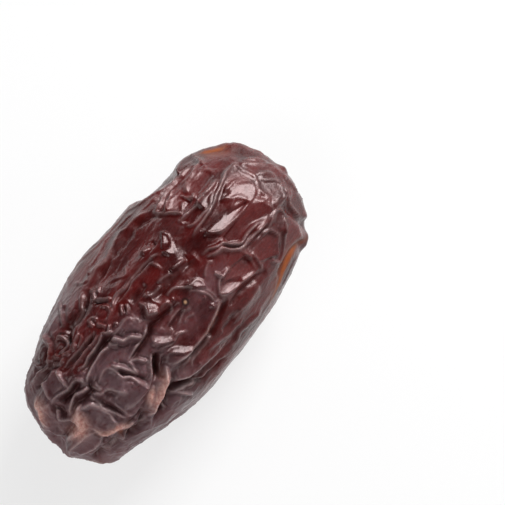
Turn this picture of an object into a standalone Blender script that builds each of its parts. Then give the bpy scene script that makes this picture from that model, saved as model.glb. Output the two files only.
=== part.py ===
"""A medjool date, lying on its side.

The fruit is one solid. Its smooth body is a blunt ellipsoid, fuller at the tip than at the stem. Its wrinkled
skin is raised from that body by a formula: broad swells and dips, sharp crests and deep furrows, each along a
line laid on the skin. The lines of the upper side are placed by hand. Those of the flanks and the underside
are drawn by a rule with a fixed seed.

Frame: metres, +X from the stem end to the tip, +Z up, origin on the surface under the middle of the date.
Sizes below are in millimetres.
"""

import math

import bmesh
import bpy
import numpy as np
from mathutils import Vector, noise
from mathutils.bvhtree import BVHTree

MM = 0.001

# The smooth body.
HALF_LENGTH = 24.5
FAR_HALF_WIDTH = 11.9
NEAR_HALF_WIDTH = 11.7
HALF_HEIGHT = 11.5
REST_DEPTH = 0.4  # how much of the underside is pressed flat by lying
REST_LEVEL = 0.15  # what still stands lower than this after the thinning is pressed level too
TIP_BLUNTNESS = 2.6  # 2 would be an ellipsoid
STEM_BLUNTNESS = 2.35
TIP_GAIN = 0.045  # share by which the date widens towards the tip, and narrows towards the stem
TIP_SKEW = -0.065  # how far the two ends lean along the date for each millimetre across it
STEM_SKEW = 0.055

# The drawing of the upper side. Its lines are laid out flat, as seen from SIGHT, and dropped on the body.
SIGHT = Vector((-0.342, -0.243, 0.908)).normalized()
SIGHT_DISTANCE = 300.0
DRAWING_MIDDLE = (1.5, 0.1)  # where the middle of the body lies on the drawing

# The skin.
GRID_CUTS = 79
CREST_ROUNDNESS = 0.30
LINE_STEP = 0.35
LINE_FADE = 0.22
FOLD_POWER = 1.2  # how a fold's sides fall away: 1 is a sharp pleat, 2 a soft round
SWELL_POWER = 2.0
KEPT_SHARE = 0.15  # share of the fine grid's triangles that the finished solid keeps
SEED = 11

# Broad forms, each (rise, half width, points): a rise below zero is a dip.
SWELLS = (
    (-0.60, 1.9, ((-5, 8.2), (-1, 8.1), (3, 8.0), (6.5, 7.5), (10.5, 6.6))),
    (-0.65, 2.0, ((-4.5, -3.2), (-1, -4.0), (2, -4.0), (5.5, -3.6))),
    # the outline's notch behind the far shoulder, and the shoulders of both ends
    (-1.60, 2.4, ((11.0, 12.2), (13.0, 11.6), (15.2, 11.0))),
    (0.70, 1.8, ((18.4, 10.0), (20.3, 9.2), (22.0, 7.8), (24.2, 5.0))),
    (0.75, 1.7, ((18.4, -10.2), (20.0, -9.6), (21.5, -8.2))),
    (-0.30, 1.2, ((23.6, -5.6), (24.8, -3.6))),
    (0.60, 1.4, ((-22.2, -5.4), (-21.2, -6.6), (-19.9, -7.6))),
    (-0.40, 1.8, ((-17.0, -8.9), (-14.0, -9.8), (-10.0, -10.8), (-6.0, -11.5))),
    (-0.60, 2.2, ((-23.6, -1.6), (-23.2, 1.0), (-22.2, 3.4))),
    (0.40, 1.4, ((-20.9, 6.4), (-19.2, 8.0), (-17.4, 9.2))),
    # the hollows and rounds between the folds
    (-0.50, 1.4, ((7.0, 3.0), (9.2, 1.6), (10.8, 0.2))),
    (0.40, 1.0, ((11.4, 1.2), (13.5, 0.7), (15.5, 0.5), (17.6, 0.4))),
    (-0.55, 0.9, ((12.6, -0.8), (14.5, -1.7), (17.0, -1.8), (19.6, -1.9))),
    (-0.35, 0.6, ((11.8, 2.1), (14.0, 2.3), (17.0, 2.9))),
    (0.45, 2.4, ((-15.0, -2.4), (-12.0, -2.8), (-8.5, -2.6))),
    (-0.70, 0.8, ((-22.4, -0.3), (-20.6, -0.5), (-18.8, -0.1))),
    (-0.80, 0.8, ((-13.5, -8.7), (-10.5, -8.4), (-7.6, -8.1), (-5, -8.9), (-1, -9.6), (3, -9.9), (8, -9.6))),
    (0.35, 1.4, ((-6.5, 2.0), (-4.2, 1.6), (-2.2, 1.9))),
    (0.35, 1.4, ((-15.5, 9.0), (-11.5, 9.6), (-7.0, 10.4))),
    (0.30, 1.7, ((8.0, -5.0), (11.5, -5.2), (16.0, -5.8))),
)

# Crests, each (height, half width, points).
CRESTS = (
    # the long rim between the upper side and the near flank
    (0.85, 0.60, ((-14.3, -7.5), (-12.4, -7.7), (-10.6, -7.4), (-8.6, -6.8), (-6.9, -6.1), (-5.0, -5.5))),
    (0.50, 0.50, ((-13.2, -7.7), (-15.4, -6.9), (-16.6, -6.0), (-17.6, -4.6), (-18.3, -2.8))),
    (0.50, 0.50, ((-5.9, -5.7), (-3.5, -6.4), (-1.0, -6.7), (2.0, -6.6), (4.5, -6.2), (6.3, -5.6), (7.3, -4.7))),
    (0.35, 0.50, ((-6.0, -7.2), (-3.0, -7.8), (0.5, -7.8), (4.0, -7.4), (7.0, -6.9))),
    # the near flank, under the rim
    (0.45, 0.45, ((-9.0, -8.5), (-7.2, -9.2), (-5.4, -9.9), (-3.0, -10.4), (1.0, -10.8), (5.5, -10.9))),
    (0.35, 0.40, ((-10.4, -9.4), (-9.8, -8.7), (-8.9, -8.2), (-7.9, -8.0))),
    (0.30, 0.45, ((-1.0, -8.5), (3.0, -8.8), (7.0, -8.5), (10.5, -8.4))),
    (0.45, 0.45, ((-21.2, -5.0), (-19.4, -5.9), (-17.2, -6.6), (-15.4, -7.4), (-13.0, -8.0))),
    (0.40, 0.40, ((11.6, -11.2), (14.5, -10.5), (17.6, -10.2), (20.4, -9.6))),
    # the stem end
    (0.50, 0.50, ((-19.6, 5.8), (-20.6, 4.6), (-21.4, 3.0), (-21.8, 1.2))),
    (0.60, 0.55, ((-21.9, -0.9), (-20.3, -1.6), (-18.9, -1.3), (-18.1, -0.1), (-17.1, 0.5))),
    (0.45, 0.40, ((-18.9, 1.1), (-17.4, 2.0), (-16.1, 2.0), (-15.1, 1.3), (-14.2, 1.4), (-14.2, 2.9), (-15.4, 3.5), (-17.6, 3.5))),
    (0.35, 0.40, ((-18.8, 4.2), (-17.9, 5.6), (-17.2, 6.4), (-15.3, 6.2), (-15.3, 4.9), (-16.2, 4.2))),
    (0.35, 0.40, ((-20.0, 1.9), (-19.4, 1.1), (-18.6, 0.5))),
    # the plates behind the stem end
    (0.42, 0.38, ((-16.8, 0.6), (-15.7, 0.0), (-15.1, -1.6), (-14.9, -3.2), (-14.4, -4.8), (-14.0, -6.1))),
    (0.28, 0.35, ((-13.9, -0.2), (-12.8, -1.2), (-12.0, -2.5), (-11.2, -3.6))),
    (0.40, 0.38, ((-10.2, 1.0), (-9.6, -0.8), (-9.1, -3.0), (-8.7, -5.3))),
    (0.28, 0.35, ((-13.8, -5.1), (-11.2, -5.3), (-8.6, -5.0))),
    (0.32, 0.35, ((-7.9, -1.0), (-7.0, -2.5), (-6.0, -3.5))),
    # the upper left
    (0.50, 0.45, ((-18.0, 7.7), (-15.6, 7.8), (-14.0, 8.3), (-12.9, 9.2), (-12.2, 10.5))),
    (0.45, 0.38, ((-13.0, 7.8), (-12.4, 7.3), (-11.4, 7.3), (-10.8, 8.0), (-11.1, 8.8), (-12.1, 9.0))),
    (0.32, 0.38, ((-10.4, 10.6), (-9.2, 9.4), (-8.4, 8.9))),
    (0.35, 0.40, ((-15.6, 7.1), (-14.4, 6.6), (-13.2, 6.0), (-10.8, 6.2), (-9.2, 6.7))),
    (0.42, 0.38, ((-14.6, 3.8), (-12.6, 3.9), (-10.0, 4.1), (-7.0, 4.1))),
    (0.35, 0.38, ((-14.0, 2.2), (-11.8, 2.6), (-8.8, 2.7), (-6.0, 2.4))),
    (0.42, 0.42, ((-8.2, 3.1), (-6.9, 1.9), (-5.6, 1.0), (-4.0, -0.5))),
    # the far shoulder, two long bands
    (0.40, 0.45, ((-4.5, 11.3), (-1.0, 11.3), (3.0, 11.6), (7.4, 11.8), (9.2, 11.0))),
    (0.55, 0.55, ((-4.4, 10.2), (-1.0, 10.3), (3.0, 10.5), (7.0, 10.1), (10.4, 8.8))),
    (0.32, 0.40, ((1.0, 10.9), (5.5, 11.0), (9.4, 10.4), (13.0, 10.0))),
    # the middle
    (0.35, 0.40, ((-3.4, 6.0), (0.0, 6.1), (2.5, 5.8), (5.4, 5.0))),
    (0.45, 0.40, ((-0.7, 3.2), (-1.1, 1.4), (-0.2, -0.2))),
    (0.42, 0.40, ((1.2, 3.1), (3.2, 2.7), (5.2, 2.1), (8.4, 1.6))),
    (0.40, 0.36, ((6.1, 4.8), (6.6, 3.5), (7.3, 3.2), (8.2, 4.2), (8.7, 5.4), (7.9, 5.7), (6.8, 5.1))),
    (0.30, 0.36, ((3.8, 7.0), (5.2, 6.7), (7.0, 6.3))),
    (0.50, 0.45, ((2.2, 1.0), (4.0, -0.3), (5.4, -1.8), (6.1, -3.0), (5.8, -4.8))),
    (0.42, 0.42, ((-4.5, -1.4), (-3.6, -2.7), (-2.6, -3.4), (-1.4, -4.0))),
    (0.38, 0.40, ((-3.8, -4.2), (-2.8, -5.3), (-1.2, -6.2))),
    (0.30, 0.36, ((-0.8, -0.9), (0.4, -0.2), (1.6, -0.7), (1.5, -1.6), (0.4, -2.0))),
    # the plates of the tip end
    (0.55, 0.50, ((6.5, -5.4), (8.7, -5.9), (10.5, -6.4), (12.9, -7.1))),
    (0.35, 0.42, ((6.6, -5.2), (7.8, -4.2), (9.0, -3.8), (10.8, -3.9))),
    (0.85, 0.55, ((9.0, 0.4), (10.6, -0.4), (11.8, -1.3), (12.8, -2.6), (13.8, -3.35), (15.6, -3.4), (18.6, -3.8))),
    (0.30, 0.38, ((12.9, -3.6), (13.1, -5.2), (12.6, -6.9))),
    (0.42, 0.42, ((13.6, -9.0), (16.2, -8.3), (18.2, -7.3), (20.6, -5.7))),
    (0.50, 0.45, ((9.4, 9.6), (10.4, 8.3), (11.2, 7.2), (12.4, 6.0))),
    (0.65, 0.45, ((9.8, 9.0), (11.7, 9.4), (14.0, 9.7), (16.2, 9.4), (18.8, 9.0))),
    (0.35, 0.36, ((10.4, 7.8), (12.2, 8.2), (14.4, 8.9))),
    (0.40, 0.38, ((15.0, 8.5), (17.5, 8.2), (19.2, 8.3), (19.4, 9.9))),
    (0.48, 0.42, ((10.6, 5.7), (13.0, 5.1), (14.5, 4.9), (16.0, 5.2), (18.8, 4.8))),
    (0.38, 0.38, ((11.0, 4.4), (12.0, 3.6), (14.5, 3.5), (17.0, 4.1))),
    (0.60, 0.42, ((9.6, 2.7), (12.5, 2.9), (15.5, 3.3), (18.0, 4.0), (20.5, 4.7), (21.7, 4.5), (22.2, 2.8), (22.4, 0.8))),
    (0.50, 0.42, ((16.8, 2.8), (18.2, 1.4), (19.1, -0.1), (20.2, -0.5), (21.4, 0.2), (22.8, 1.4))),
    (0.40, 0.38, ((22.2, 1.4), (23.1, -0.2), (23.8, -1.6), (23.2, -2.9), (22.2, -3.9), (20.0, -3.6))),
    (0.32, 0.36, ((22.4, 0.9), (21.5, -0.4), (21.1, -1.8), (20.2, -3.6))),
    (0.38, 0.40, ((22.0, 4.6), (23.2, 3.2), (24.2, 1.6), (24.9, 0.2))),
    (0.48, 0.45, ((20.0, -9.6), (21.3, -7.7), (21.7, -5.9), (22.5, -4.4), (23.7, -3.0), (25.0, -1.4))),
    (0.30, 0.38, ((17.6, -4.9), (19.2, -4.3), (21.2, -4.0))),
)

# Furrows, each (depth, half width, points).
FURROWS = (
    (0.85, 0.42, ((-13.8, 2.7), (-11.8, 3.2), (-9.5, 3.5), (-8.0, 3.4), (-6.2, 3.0))),
    (0.55, 0.40, ((-14.6, 5.1), (-12.0, 5.2), (-9.5, 5.1), (-6.6, 5.3))),
    (0.75, 0.45, ((-13.4, 7.0), (-11.3, 6.8), (-10.0, 7.6), (-8.5, 8.1), (-6.8, 8.2), (-5.4, 8.8), (-3.6, 9.5))),
    (0.45, 0.50, ((-4.6, 9.3), (-1.0, 9.5), (3.0, 9.6), (6.5, 9.2), (8.8, 8.4), (10.4, 7.2))),
    (0.85, 0.48, ((-8.0, -1.1), (-5.5, -0.9), (-3.8, -0.7), (-2.3, -0.3), (-0.8, -0.6), (1.8, -1.1))),
    (0.80, 0.48, ((-4.6, -2.5), (-6.1, -3.8), (-7.3, -5.7))),
    (0.55, 0.38, ((-5.6, -6.4), (-2.5, -7.3), (1.0, -7.3), (4.0, -7.0), (7.0, -6.2))),
    (0.85, 0.45, ((-13.4, -8.4), (-10.5, -8.2), (-9.0, -7.9), (-7.2, -7.4), (-5.0, -7.2))),
    (0.55, 0.42, ((-1.0, 2.0), (2.2, 2.0), (5.0, 1.5), (8.2, 0.9))),
    (0.55, 0.38, ((-18.8, 0.7), (-16.8, 1.3), (-15.6, 0.8), (-14.3, 0.6), (-13.4, 1.4))),
    (0.55, 0.45, ((-18.0, 2.9), (-16.8, 2.9), (-15.6, 2.5), (-14.6, 2.4))),
    (0.45, 0.42, ((-19.6, 3.4), (-19.0, 2.6), (-18.6, 1.6))),
    (0.55, 0.40, ((-20.9, -4.6), (-18.9, -5.5), (-16.8, -6.0))),
    (0.50, 0.42, ((-16.5, -6.3), (-14.5, -7.0), (-12.5, -7.0), (-11.0, -6.7))),
    (0.40, 0.40, ((-6.4, -8.2), (-4.5, -9.1), (-2.0, -9.6), (2.0, -10.0), (6.0, -10.2))),
    (0.35, 0.36, ((-3.2, 5.4), (0.0, 5.6), (2.5, 5.3), (5.8, 4.4))),
    (0.40, 0.36, ((-0.8, -2.7), (1.6, -2.8), (3.8, -2.5))),
    (0.40, 0.45, ((7.4, -6.5), (10.0, -7.2), (13.0, -7.9))),
    (0.35, 0.38, ((11.4, 4.9), (13.4, 4.3), (16.5, 4.5))),
    (0.35, 0.38, ((-4.8, 7.8), (-3.6, 6.9), (-2.6, 6.4))),
    (0.40, 0.40, ((10.4, 8.7), (12.4, 8.9), (14.6, 9.2))),
    (0.35, 0.38, ((-12.6, 6.5), (-11.2, 5.6), (-9.4, 5.8), (-7.4, 6.2))),
    (0.35, 0.40, ((21.0, -4.4), (21.0, -5.8), (20.4, -7.6))),
)

# The stem scar, a shallow crater, and the small knob that the flower left at the tip.
SCAR_RADIUS = 1.9
SCAR_DEPTH = 0.9
SCAR_RIM = 0.3
KNOB_AT = (25.0, -1.3)
KNOB_RADIUS = 0.7
KNOB_HEIGHT = 0.45

# The flanks and the underside. A fold's place and its span are angles seen from the body's middle, 0 at the
# tip and half a turn at the stem end.
HIDDEN_LINES = 64
HIDDEN_HALF_ANGLE = math.radians(88)
HIDDEN_SPAN = (math.radians(22), math.radians(70))
HIDDEN_ENDS = (math.radians(9), math.radians(168))
HIDDEN_HEIGHT = (0.30, 0.75)
HIDDEN_WIDTH = (0.38, 0.60)
HIDDEN_DRIFT = math.radians(14)
BRANCH_CHANCE = 0.6
PLATE_HEIGHTS = (0.12, 0.27)  # on the drawn side, and on the others
PLATE_EDGE = 0.16
REST_CALM = (0.2, 2.4)  # heights between which the relief grows back above the resting spot

SKIN_COLOUR = (0.075, 0.018, 0.014, 1.0)
SKIN_ROUGHNESS = 0.28


def clear_scene():
    for item in list(bpy.data.objects):
        bpy.data.objects.remove(item, do_unlink=True)


def cube_ball():
    """A ball made from an evenly cut cube, so that it has no poles."""
    ball = bmesh.new()
    bmesh.ops.create_cube(ball, size=2.0)
    bmesh.ops.subdivide_edges(ball, edges=ball.edges[:], cuts=GRID_CUTS, use_grid_fill=True)
    for vert in ball.verts:
        spread = [math.tan(c * math.pi / 4) for c in vert.co]
        vert.co = Vector(spread).normalized()
    return ball


def curve_through(before, start, end, after, t):
    """A smooth curve from start to end, t going from 0 to 1, that heads the way its neighbours lie."""
    return 0.5 * (
        2 * start
        + (end - before) * t
        + (2 * before - 5 * start + 4 * end - after) * t**2
        + (3 * start - before - 3 * end + after) * t**3
    )


def body_points(directions):
    """The smooth body's points for unit directions, about the body's own middle."""
    x, y, z = directions.T
    around = np.hypot(y, z)
    bluntness = STEM_BLUNTNESS + (TIP_BLUNTNESS - STEM_BLUNTNESS) * (1 + x) / 2
    size = (np.abs(x) ** bluntness + around**bluntness) ** (-1 / bluntness)
    farness = 0.5 + 0.5 * y / np.maximum(around, 1e-9)
    half_width = NEAR_HALF_WIDTH + (FAR_HALF_WIDTH - NEAR_HALF_WIDTH) * farness
    gain = size * (1 + TIP_GAIN * x)
    across = half_width * gain * y
    lean = np.where(x > 0, TIP_SKEW, STEM_SKEW) * x**2
    return np.stack((HALF_LENGTH * size * x + lean * across, across, HALF_HEIGHT * gain * z), axis=1)


def set_points(shape, points):
    for vert, point in zip(shape.verts, points):
        vert.co = Vector(point)
    shape.normal_update()


def points_of(shape):
    return np.array([vert.co[:] for vert in shape.verts])


def smooth_line(points):
    """Points LINE_STEP apart or closer on a smooth curve through the given ones."""
    given = [np.array(p, float) for p in points]
    given = [2 * given[0] - given[1], *given, 2 * given[-1] - given[-2]]
    line = []
    for before, start, end, after in zip(given, given[1:], given[2:], given[3:]):
        count = max(2, int(np.linalg.norm(end - start) / LINE_STEP))
        line += [curve_through(before, start, end, after, step / count) for step in range(count)]
    line.append(given[-2])
    return np.array(line)


def sight_axes():
    """The drawing's two directions: along the date, and across it towards the far side."""
    along = Vector((1, 0, 0))
    along = (along - SIGHT * along.dot(SIGHT)).normalized()
    return along, SIGHT.cross(along)


def dropped(tree, points):
    """The line on the body under a line of the drawing. A point beyond the outline is drawn in to it."""
    along, across = sight_axes()
    eye = SIGHT * SIGHT_DISTANCE
    line = []
    for s, t in smooth_line(points):
        place = along * (s - DRAWING_MIDDLE[0]) + across * (t - DRAWING_MIDDLE[1])
        hit = None
        while hit is None:
            hit = tree.ray_cast(eye, (place - eye).normalized())[0]
            place *= 0.99
        line.append(hit)
    return np.array(line)


def wound(start, span, angle, drift, bow):
    """A line along the body from the polar angle start, turning round it by drift and bowing by bow."""
    steps = np.linspace(0, 1, max(4, int(span * HALF_LENGTH / LINE_STEP)))
    polar = np.clip(start + steps * span, *HIDDEN_ENDS)
    around = angle + drift * steps + bow * np.sin(math.pi * steps)
    reach = np.sin(polar)
    return body_points(np.stack((np.cos(polar), reach * np.cos(around), reach * np.sin(around)), axis=1))


def hidden_folds():
    """Crests and furrows of the sides that the drawing doesn't reach, drawn with a fixed seed."""
    draw = np.random.default_rng(SEED)
    facing = math.atan2(SIGHT.z, SIGHT.y)
    crests, furrows = [], []
    for number in range(HIDDEN_LINES):
        share = (number + draw.uniform(0.1, 0.9)) / HIDDEN_LINES
        angle = facing + math.pi + HIDDEN_HALF_ANGLE * (2 * share - 1)
        span = draw.uniform(*HIDDEN_SPAN)
        start = draw.uniform(HIDDEN_ENDS[0], HIDDEN_ENDS[1] - 0.7 * span)
        drift = draw.uniform(-HIDDEN_DRIFT, HIDDEN_DRIFT)
        bow = draw.uniform(-HIDDEN_DRIFT, HIDDEN_DRIFT)
        height = draw.uniform(*HIDDEN_HEIGHT)
        width = draw.uniform(*HIDDEN_WIDTH)
        kind = furrows if number % 2 else crests
        kind.append((height, width, wound(start, span, angle, drift, bow)))
        if draw.uniform() < BRANCH_CHANCE:
            along = draw.uniform(0.2, 0.6)
            turn = draw.choice((-1, 1)) * draw.uniform(0.25, 0.5)
            fork = wound(start + span * along, 0.35 * span, angle + drift * along, turn, 0.0)
            crests.append((0.8 * height, width, fork))
    return crests, furrows


def distance_and_share(points, line):
    """How far each point is from a line, and how far along the line its nearest spot is, from 0 to 1."""
    best = np.full(len(points), np.inf)
    share = np.zeros(len(points))
    count = len(line) - 1
    for index, (start, end) in enumerate(zip(line, line[1:])):
        run = end - start
        t = np.clip((points - start) @ run / max(run @ run, 1e-12), 0, 1)
        gap = np.linalg.norm(points - start - t[:, None] * run, axis=1)
        nearer = gap < best
        best[nearer] = gap[nearer]
        share[nearer] = (index + t[nearer]) / count
    return best, share


def relief_along(points, line, width, power):
    """1 on a line, falling to nearly nothing within a few widths of it, and fading at the line's two ends."""
    reach = width * 6.0 ** (1 / power)
    near = np.nonzero(((points > line.min(0) - reach) & (points < line.max(0) + reach)).all(1))[0]
    relief = np.zeros(len(points))
    if len(near) == 0:
        return relief
    gap, share = distance_and_share(points[near], line)
    rounded = np.sqrt(gap**2 + CREST_ROUNDNESS**2) - CREST_ROUNDNESS
    fade = np.clip(np.minimum(share, 1 - share) / LINE_FADE, 0, 1)
    relief[near] = np.exp(-((rounded / width) ** power)) * fade * (2 - fade)
    return relief


def folds_relief(points, folds):
    """The highest fold wins where several meet, so that crossings don't pile up."""
    relief = np.zeros(len(points))
    for height, width, line in folds:
        relief = np.maximum(relief, height * relief_along(points, line, width, FOLD_POWER))
    return relief


def swells_relief(points, tree):
    relief = np.zeros(len(points))
    for rise, width, drawn in SWELLS:
        relief += rise * relief_along(points, dropped(tree, drawn), width, SWELL_POWER)
    return relief


def uneven(points, hiddenness):
    """The skin's small unevenness: soft waves, and plates drawn out along the date with a low crest between."""
    relief = []
    for (x, y, z), hidden in zip(points, hiddenness):
        spot = Vector((x / 6.0, y / 2.6, z / 2.6))
        nearest, second = noise.voronoi(spot * 1.1 + 0.35 * noise.noise_vector(spot))[0][:2]
        plate_edge = math.exp(-(second - nearest) / PLATE_EDGE)
        height = PLATE_HEIGHTS[0] + (PLATE_HEIGHTS[1] - PLATE_HEIGHTS[0]) * hidden
        relief.append(0.2 * noise.noise(spot) + height * plate_edge)
    return np.array(relief)


def end_marks(points, tree):
    """The crater of the stem scar with its rim, and the knob at the tip."""
    stem = np.array((-HALF_LENGTH, 0.0, 0.0))
    gap = np.linalg.norm(points - stem, axis=1)
    crater = -SCAR_DEPTH * np.exp(-((gap / SCAR_RADIUS) ** 4))
    rim = SCAR_RIM * np.exp(-(((gap - SCAR_RADIUS - 0.5) / 0.6) ** 2))
    knob_spot = dropped(tree, (KNOB_AT, KNOB_AT))[0]
    knob_gap = np.linalg.norm(points - knob_spot, axis=1)
    return crater + rim + KNOB_HEIGHT * np.exp(-((knob_gap / KNOB_RADIUS) ** 2))


def skin_material():
    skin = bpy.data.materials.new("date_skin")
    skin.use_nodes = True
    shader = skin.node_tree.nodes["Principled BSDF"]
    shader.inputs["Base Color"].default_value = SKIN_COLOUR
    shader.inputs["Roughness"].default_value = SKIN_ROUGHNESS
    shader.inputs["Metallic"].default_value = 0.0
    return skin


def wrinkled_date():
    """The date's fine grid, raised by every fold, lying on its pressed spot."""
    shape = cube_ball()
    smooth = body_points(points_of(shape))
    set_points(shape, smooth)
    normals = np.array([vert.normal[:] for vert in shape.verts])
    tree = BVHTree.FromBMesh(shape)

    crests = [(height, width, dropped(tree, drawn)) for height, width, drawn in CRESTS]
    furrows = [(depth, width, dropped(tree, drawn)) for depth, width, drawn in FURROWS]
    hidden_crests, hidden_furrows = hidden_folds()
    relief = swells_relief(smooth, tree)
    relief += folds_relief(smooth, crests + hidden_crests)
    relief -= folds_relief(smooth, furrows + hidden_furrows)
    hiddenness = np.clip(0.6 - 2 * normals @ np.array(SIGHT), 0, 1)
    relief += uneven(smooth, hiddenness)

    height = smooth[:, 2] + HALF_HEIGHT - REST_DEPTH
    calm = np.clip((height - REST_CALM[0]) / (REST_CALM[1] - REST_CALM[0]), 0, 1)
    relief = relief * calm + end_marks(smooth, tree)
    points = smooth + normals * relief[:, None]
    points[:, 2] = np.maximum(points[:, 2] + HALF_HEIGHT - REST_DEPTH, 0.0)
    set_points(shape, points)
    return shape


def date_object(collection, material):
    shape = wrinkled_date()
    mesh = bpy.data.meshes.new("date")
    shape.to_mesh(mesh)
    shape.free()
    date = bpy.data.objects.new("fine_date", mesh)
    collection.objects.link(date)
    thin = date.modifiers.new("fewer_triangles", "DECIMATE")
    thin.ratio = KEPT_SHARE

    # The thinned mesh is centred on the origin last, and set down on the surface.
    bpy.context.view_layer.update()
    graph = bpy.context.evaluated_depsgraph_get()
    thinned = bpy.data.meshes.new_from_object(date.evaluated_get(graph))
    bpy.data.objects.remove(date)
    corners = np.empty(len(thinned.vertices) * 3)
    thinned.vertices.foreach_get("co", corners)
    corners = corners.reshape(-1, 3)
    middle = (corners.min(0) + corners.max(0)) / 2
    corners -= (middle[0], middle[1], corners[:, 2].min())
    corners[corners[:, 2] < REST_LEVEL, 2] = 0.0
    thinned.vertices.foreach_set("co", (corners * MM).ravel())
    thinned.update()
    thinned.shade_smooth()
    thinned.materials.append(material)
    thinned.name = "date"
    finished = bpy.data.objects.new("date", thinned)
    collection.objects.link(finished)
    return finished


def main():
    noise.seed_set(SEED)  # without this the noise starts from the clock
    clear_scene()
    fruit = bpy.data.collections.new("medjool_date")
    bpy.context.scene.collection.children.link(fruit)
    date_object(fruit, skin_material())


main()
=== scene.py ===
"""A dried medjool date on a pale floor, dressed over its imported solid.

The date is one piece. Its skin is a fine mesh that takes the solid's own smooth body and main folds, with
sharper crests and the small creases that the solid leaves out. A Geometry Nodes tree raises them.

Sizes are in millimetres. The folds of the upper side are laid out on a flat drawing, seen along SIGHT. A
point of the drawing is two numbers: how far along the date towards its tip, and how far across it towards
the far side. A fold's points follow its two sizes in one row.
"""

import math

import bmesh
import bpy
import numpy as np
from mathutils import Matrix, Vector, noise
from mathutils.bvhtree import BVHTree


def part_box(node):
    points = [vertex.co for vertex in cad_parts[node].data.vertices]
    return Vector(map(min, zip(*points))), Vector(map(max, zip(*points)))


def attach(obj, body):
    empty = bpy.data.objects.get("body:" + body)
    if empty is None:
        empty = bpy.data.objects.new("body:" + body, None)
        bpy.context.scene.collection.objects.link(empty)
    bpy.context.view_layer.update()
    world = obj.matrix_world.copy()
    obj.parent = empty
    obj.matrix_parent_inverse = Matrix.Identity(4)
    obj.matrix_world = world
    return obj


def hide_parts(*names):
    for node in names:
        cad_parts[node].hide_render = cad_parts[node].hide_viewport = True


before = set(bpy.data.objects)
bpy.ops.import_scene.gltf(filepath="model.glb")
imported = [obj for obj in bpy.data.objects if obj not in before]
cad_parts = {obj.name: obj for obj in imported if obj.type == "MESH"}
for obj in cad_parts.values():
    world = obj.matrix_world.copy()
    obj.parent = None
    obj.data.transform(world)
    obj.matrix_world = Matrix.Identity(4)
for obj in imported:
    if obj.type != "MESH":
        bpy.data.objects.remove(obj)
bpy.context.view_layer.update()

MM = 0.001

# The smooth body, the same as the solid's.
HALF_LENGTH = 24.5
FAR_HALF_WIDTH = 11.9
NEAR_HALF_WIDTH = 11.7
HALF_HEIGHT = 11.5
REST_DEPTH = 0.4
TIP_BLUNTNESS = 2.6
STEM_BLUNTNESS = 2.35
TIP_GAIN = 0.045
TIP_SKEW = -0.065
STEM_SKEW = 0.055

# The drawing.
SIGHT = Vector((-0.342, -0.243, 0.908)).normalized()
SIGHT_DISTANCE = 300.0
DRAWING_MIDDLE = (1.25, 0.04)

# The skin's mesh, a box of squares 0.19 mm wide blown up to the body, 196,800 triangles.
SQUARES_ALONG = 196
SQUARES_ACROSS = 100
CROWDING = 0.42  # pulls the squares towards the upper side, where the folds are finest
FULLNESS = 0.22  # how far the skin stands over the smooth body everywhere

# How the drawn lines are laid on the body.
LINE_STEP = 0.25
FOOT_ROUNDS = 4  # how often the foot of a fold is moved in before it stays
DRAW_IN = 0.997  # how far a point beyond the outline is drawn in at a time
OUTLINE_ROUNDS = 8  # how often a line that was drawn in to the outline is smoothed
LINE_WANDER = 0.10  # how far a crest strays from its drawn line
WANDER_PER_MM = 0.9
WANDER_SLICE = 4.0
LINE_SWING = 0.35  # how much its height changes along it
SWING_PER_MM = 0.8
SEED = 11

# The cross-section of the folds, and where they fade.
LINE_FADE = 0.2  # the share of a fold's length in which it runs out at each end
SWELL_FADE = 0.4
SWELL_POWER = 2.0
SWELL_SPREAD = 2.5  # how many half widths from its line a swell or stripe still counts
FOLD_SPREAD = 5  # how many reaches from its line a fold still counts
CREST_ROUNDING = 0.07
THIN_BELOW = 0.45  # crests with a reach below this are made lower and thinner than drawn
THIN_HEIGHT = 0.85
THIN_REACH = 0.68
FURROW_ROUNDING = 0.12
FURROW_SINK = 0.5  # a furrow's line lies this share of its depth under the skin
CREST_BLEND = 5.0  # how sharply crests that meet stay apart
TOP_WIDTH = 0.13  # the thin pale line along a crest, partly dry skin and partly a painted highlight
TOP_GAIN = 2.2  # how fast that line gets stronger with the crest's height
FACING_FULL = 0.4  # drawn crests keep their height where the skin faces SIGHT by this cosine or more
FACING_LEAST = 0.3
FACING_STEM = 0.4
TURNED_START = 0.15  # hidden folds start where the skin faces away from SIGHT by this cosine
TURNED_FULL = 0.4
HIDDEN_FROM = 0.6  # a point is hidden by this, less the next times its cosine towards SIGHT
HIDDEN_SLOPE = 2.0
STEM_START = 4.0  # the stem third starts this far behind the middle
STEM_RUN = 6.0  # and its folds are at full strength this much further on
BLOOM_AND_SHEEN_RUN = 9.0
STEM_GAIN = 0.40
VALLEY_SHARE = 0.52  # how deep the valleys beside a crest are, as a share of its height
VALLEY_AT = 2.2  # where they lie, in reaches from its line
VALLEY_WIDTH = 0.9
VALLEY_LEAST = 0.15
FURROW_SHADE_GAIN = 1.6  # how fast the painted shade on a furrow's floor darkens with its depth

# The flat plates.
PLATE_CALM = 0.6  # how much of the small unevenness a plate loses
PLATE_MARGIN = 0.3  # how far a plate fades out on either side of its edge
PLATE_JOIN = 1.6
PLATE_FACING = 0.5  # seen more edge on than this, a plate fades out
PLATE_LEAST_SLANT = 0.3  # keeps a plate's plane from running off where the body turns away from it
PLATE_LIMITS = (-1.2, 0.9)

# The skin's small unevenness: soft waves, and small cells with a low crest between them.
WAVE_SIZES = (6.0, 2.6, 2.6)
WAVE_HEIGHT = 0.2
CELLS_PER_WAVE = 1.1
CELL_BEND = 0.35
CELL_HEIGHTS = (0.05, 0.14)  # on the side that faces SIGHT and on the hidden side
CELL_EDGE = 0.16
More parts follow.
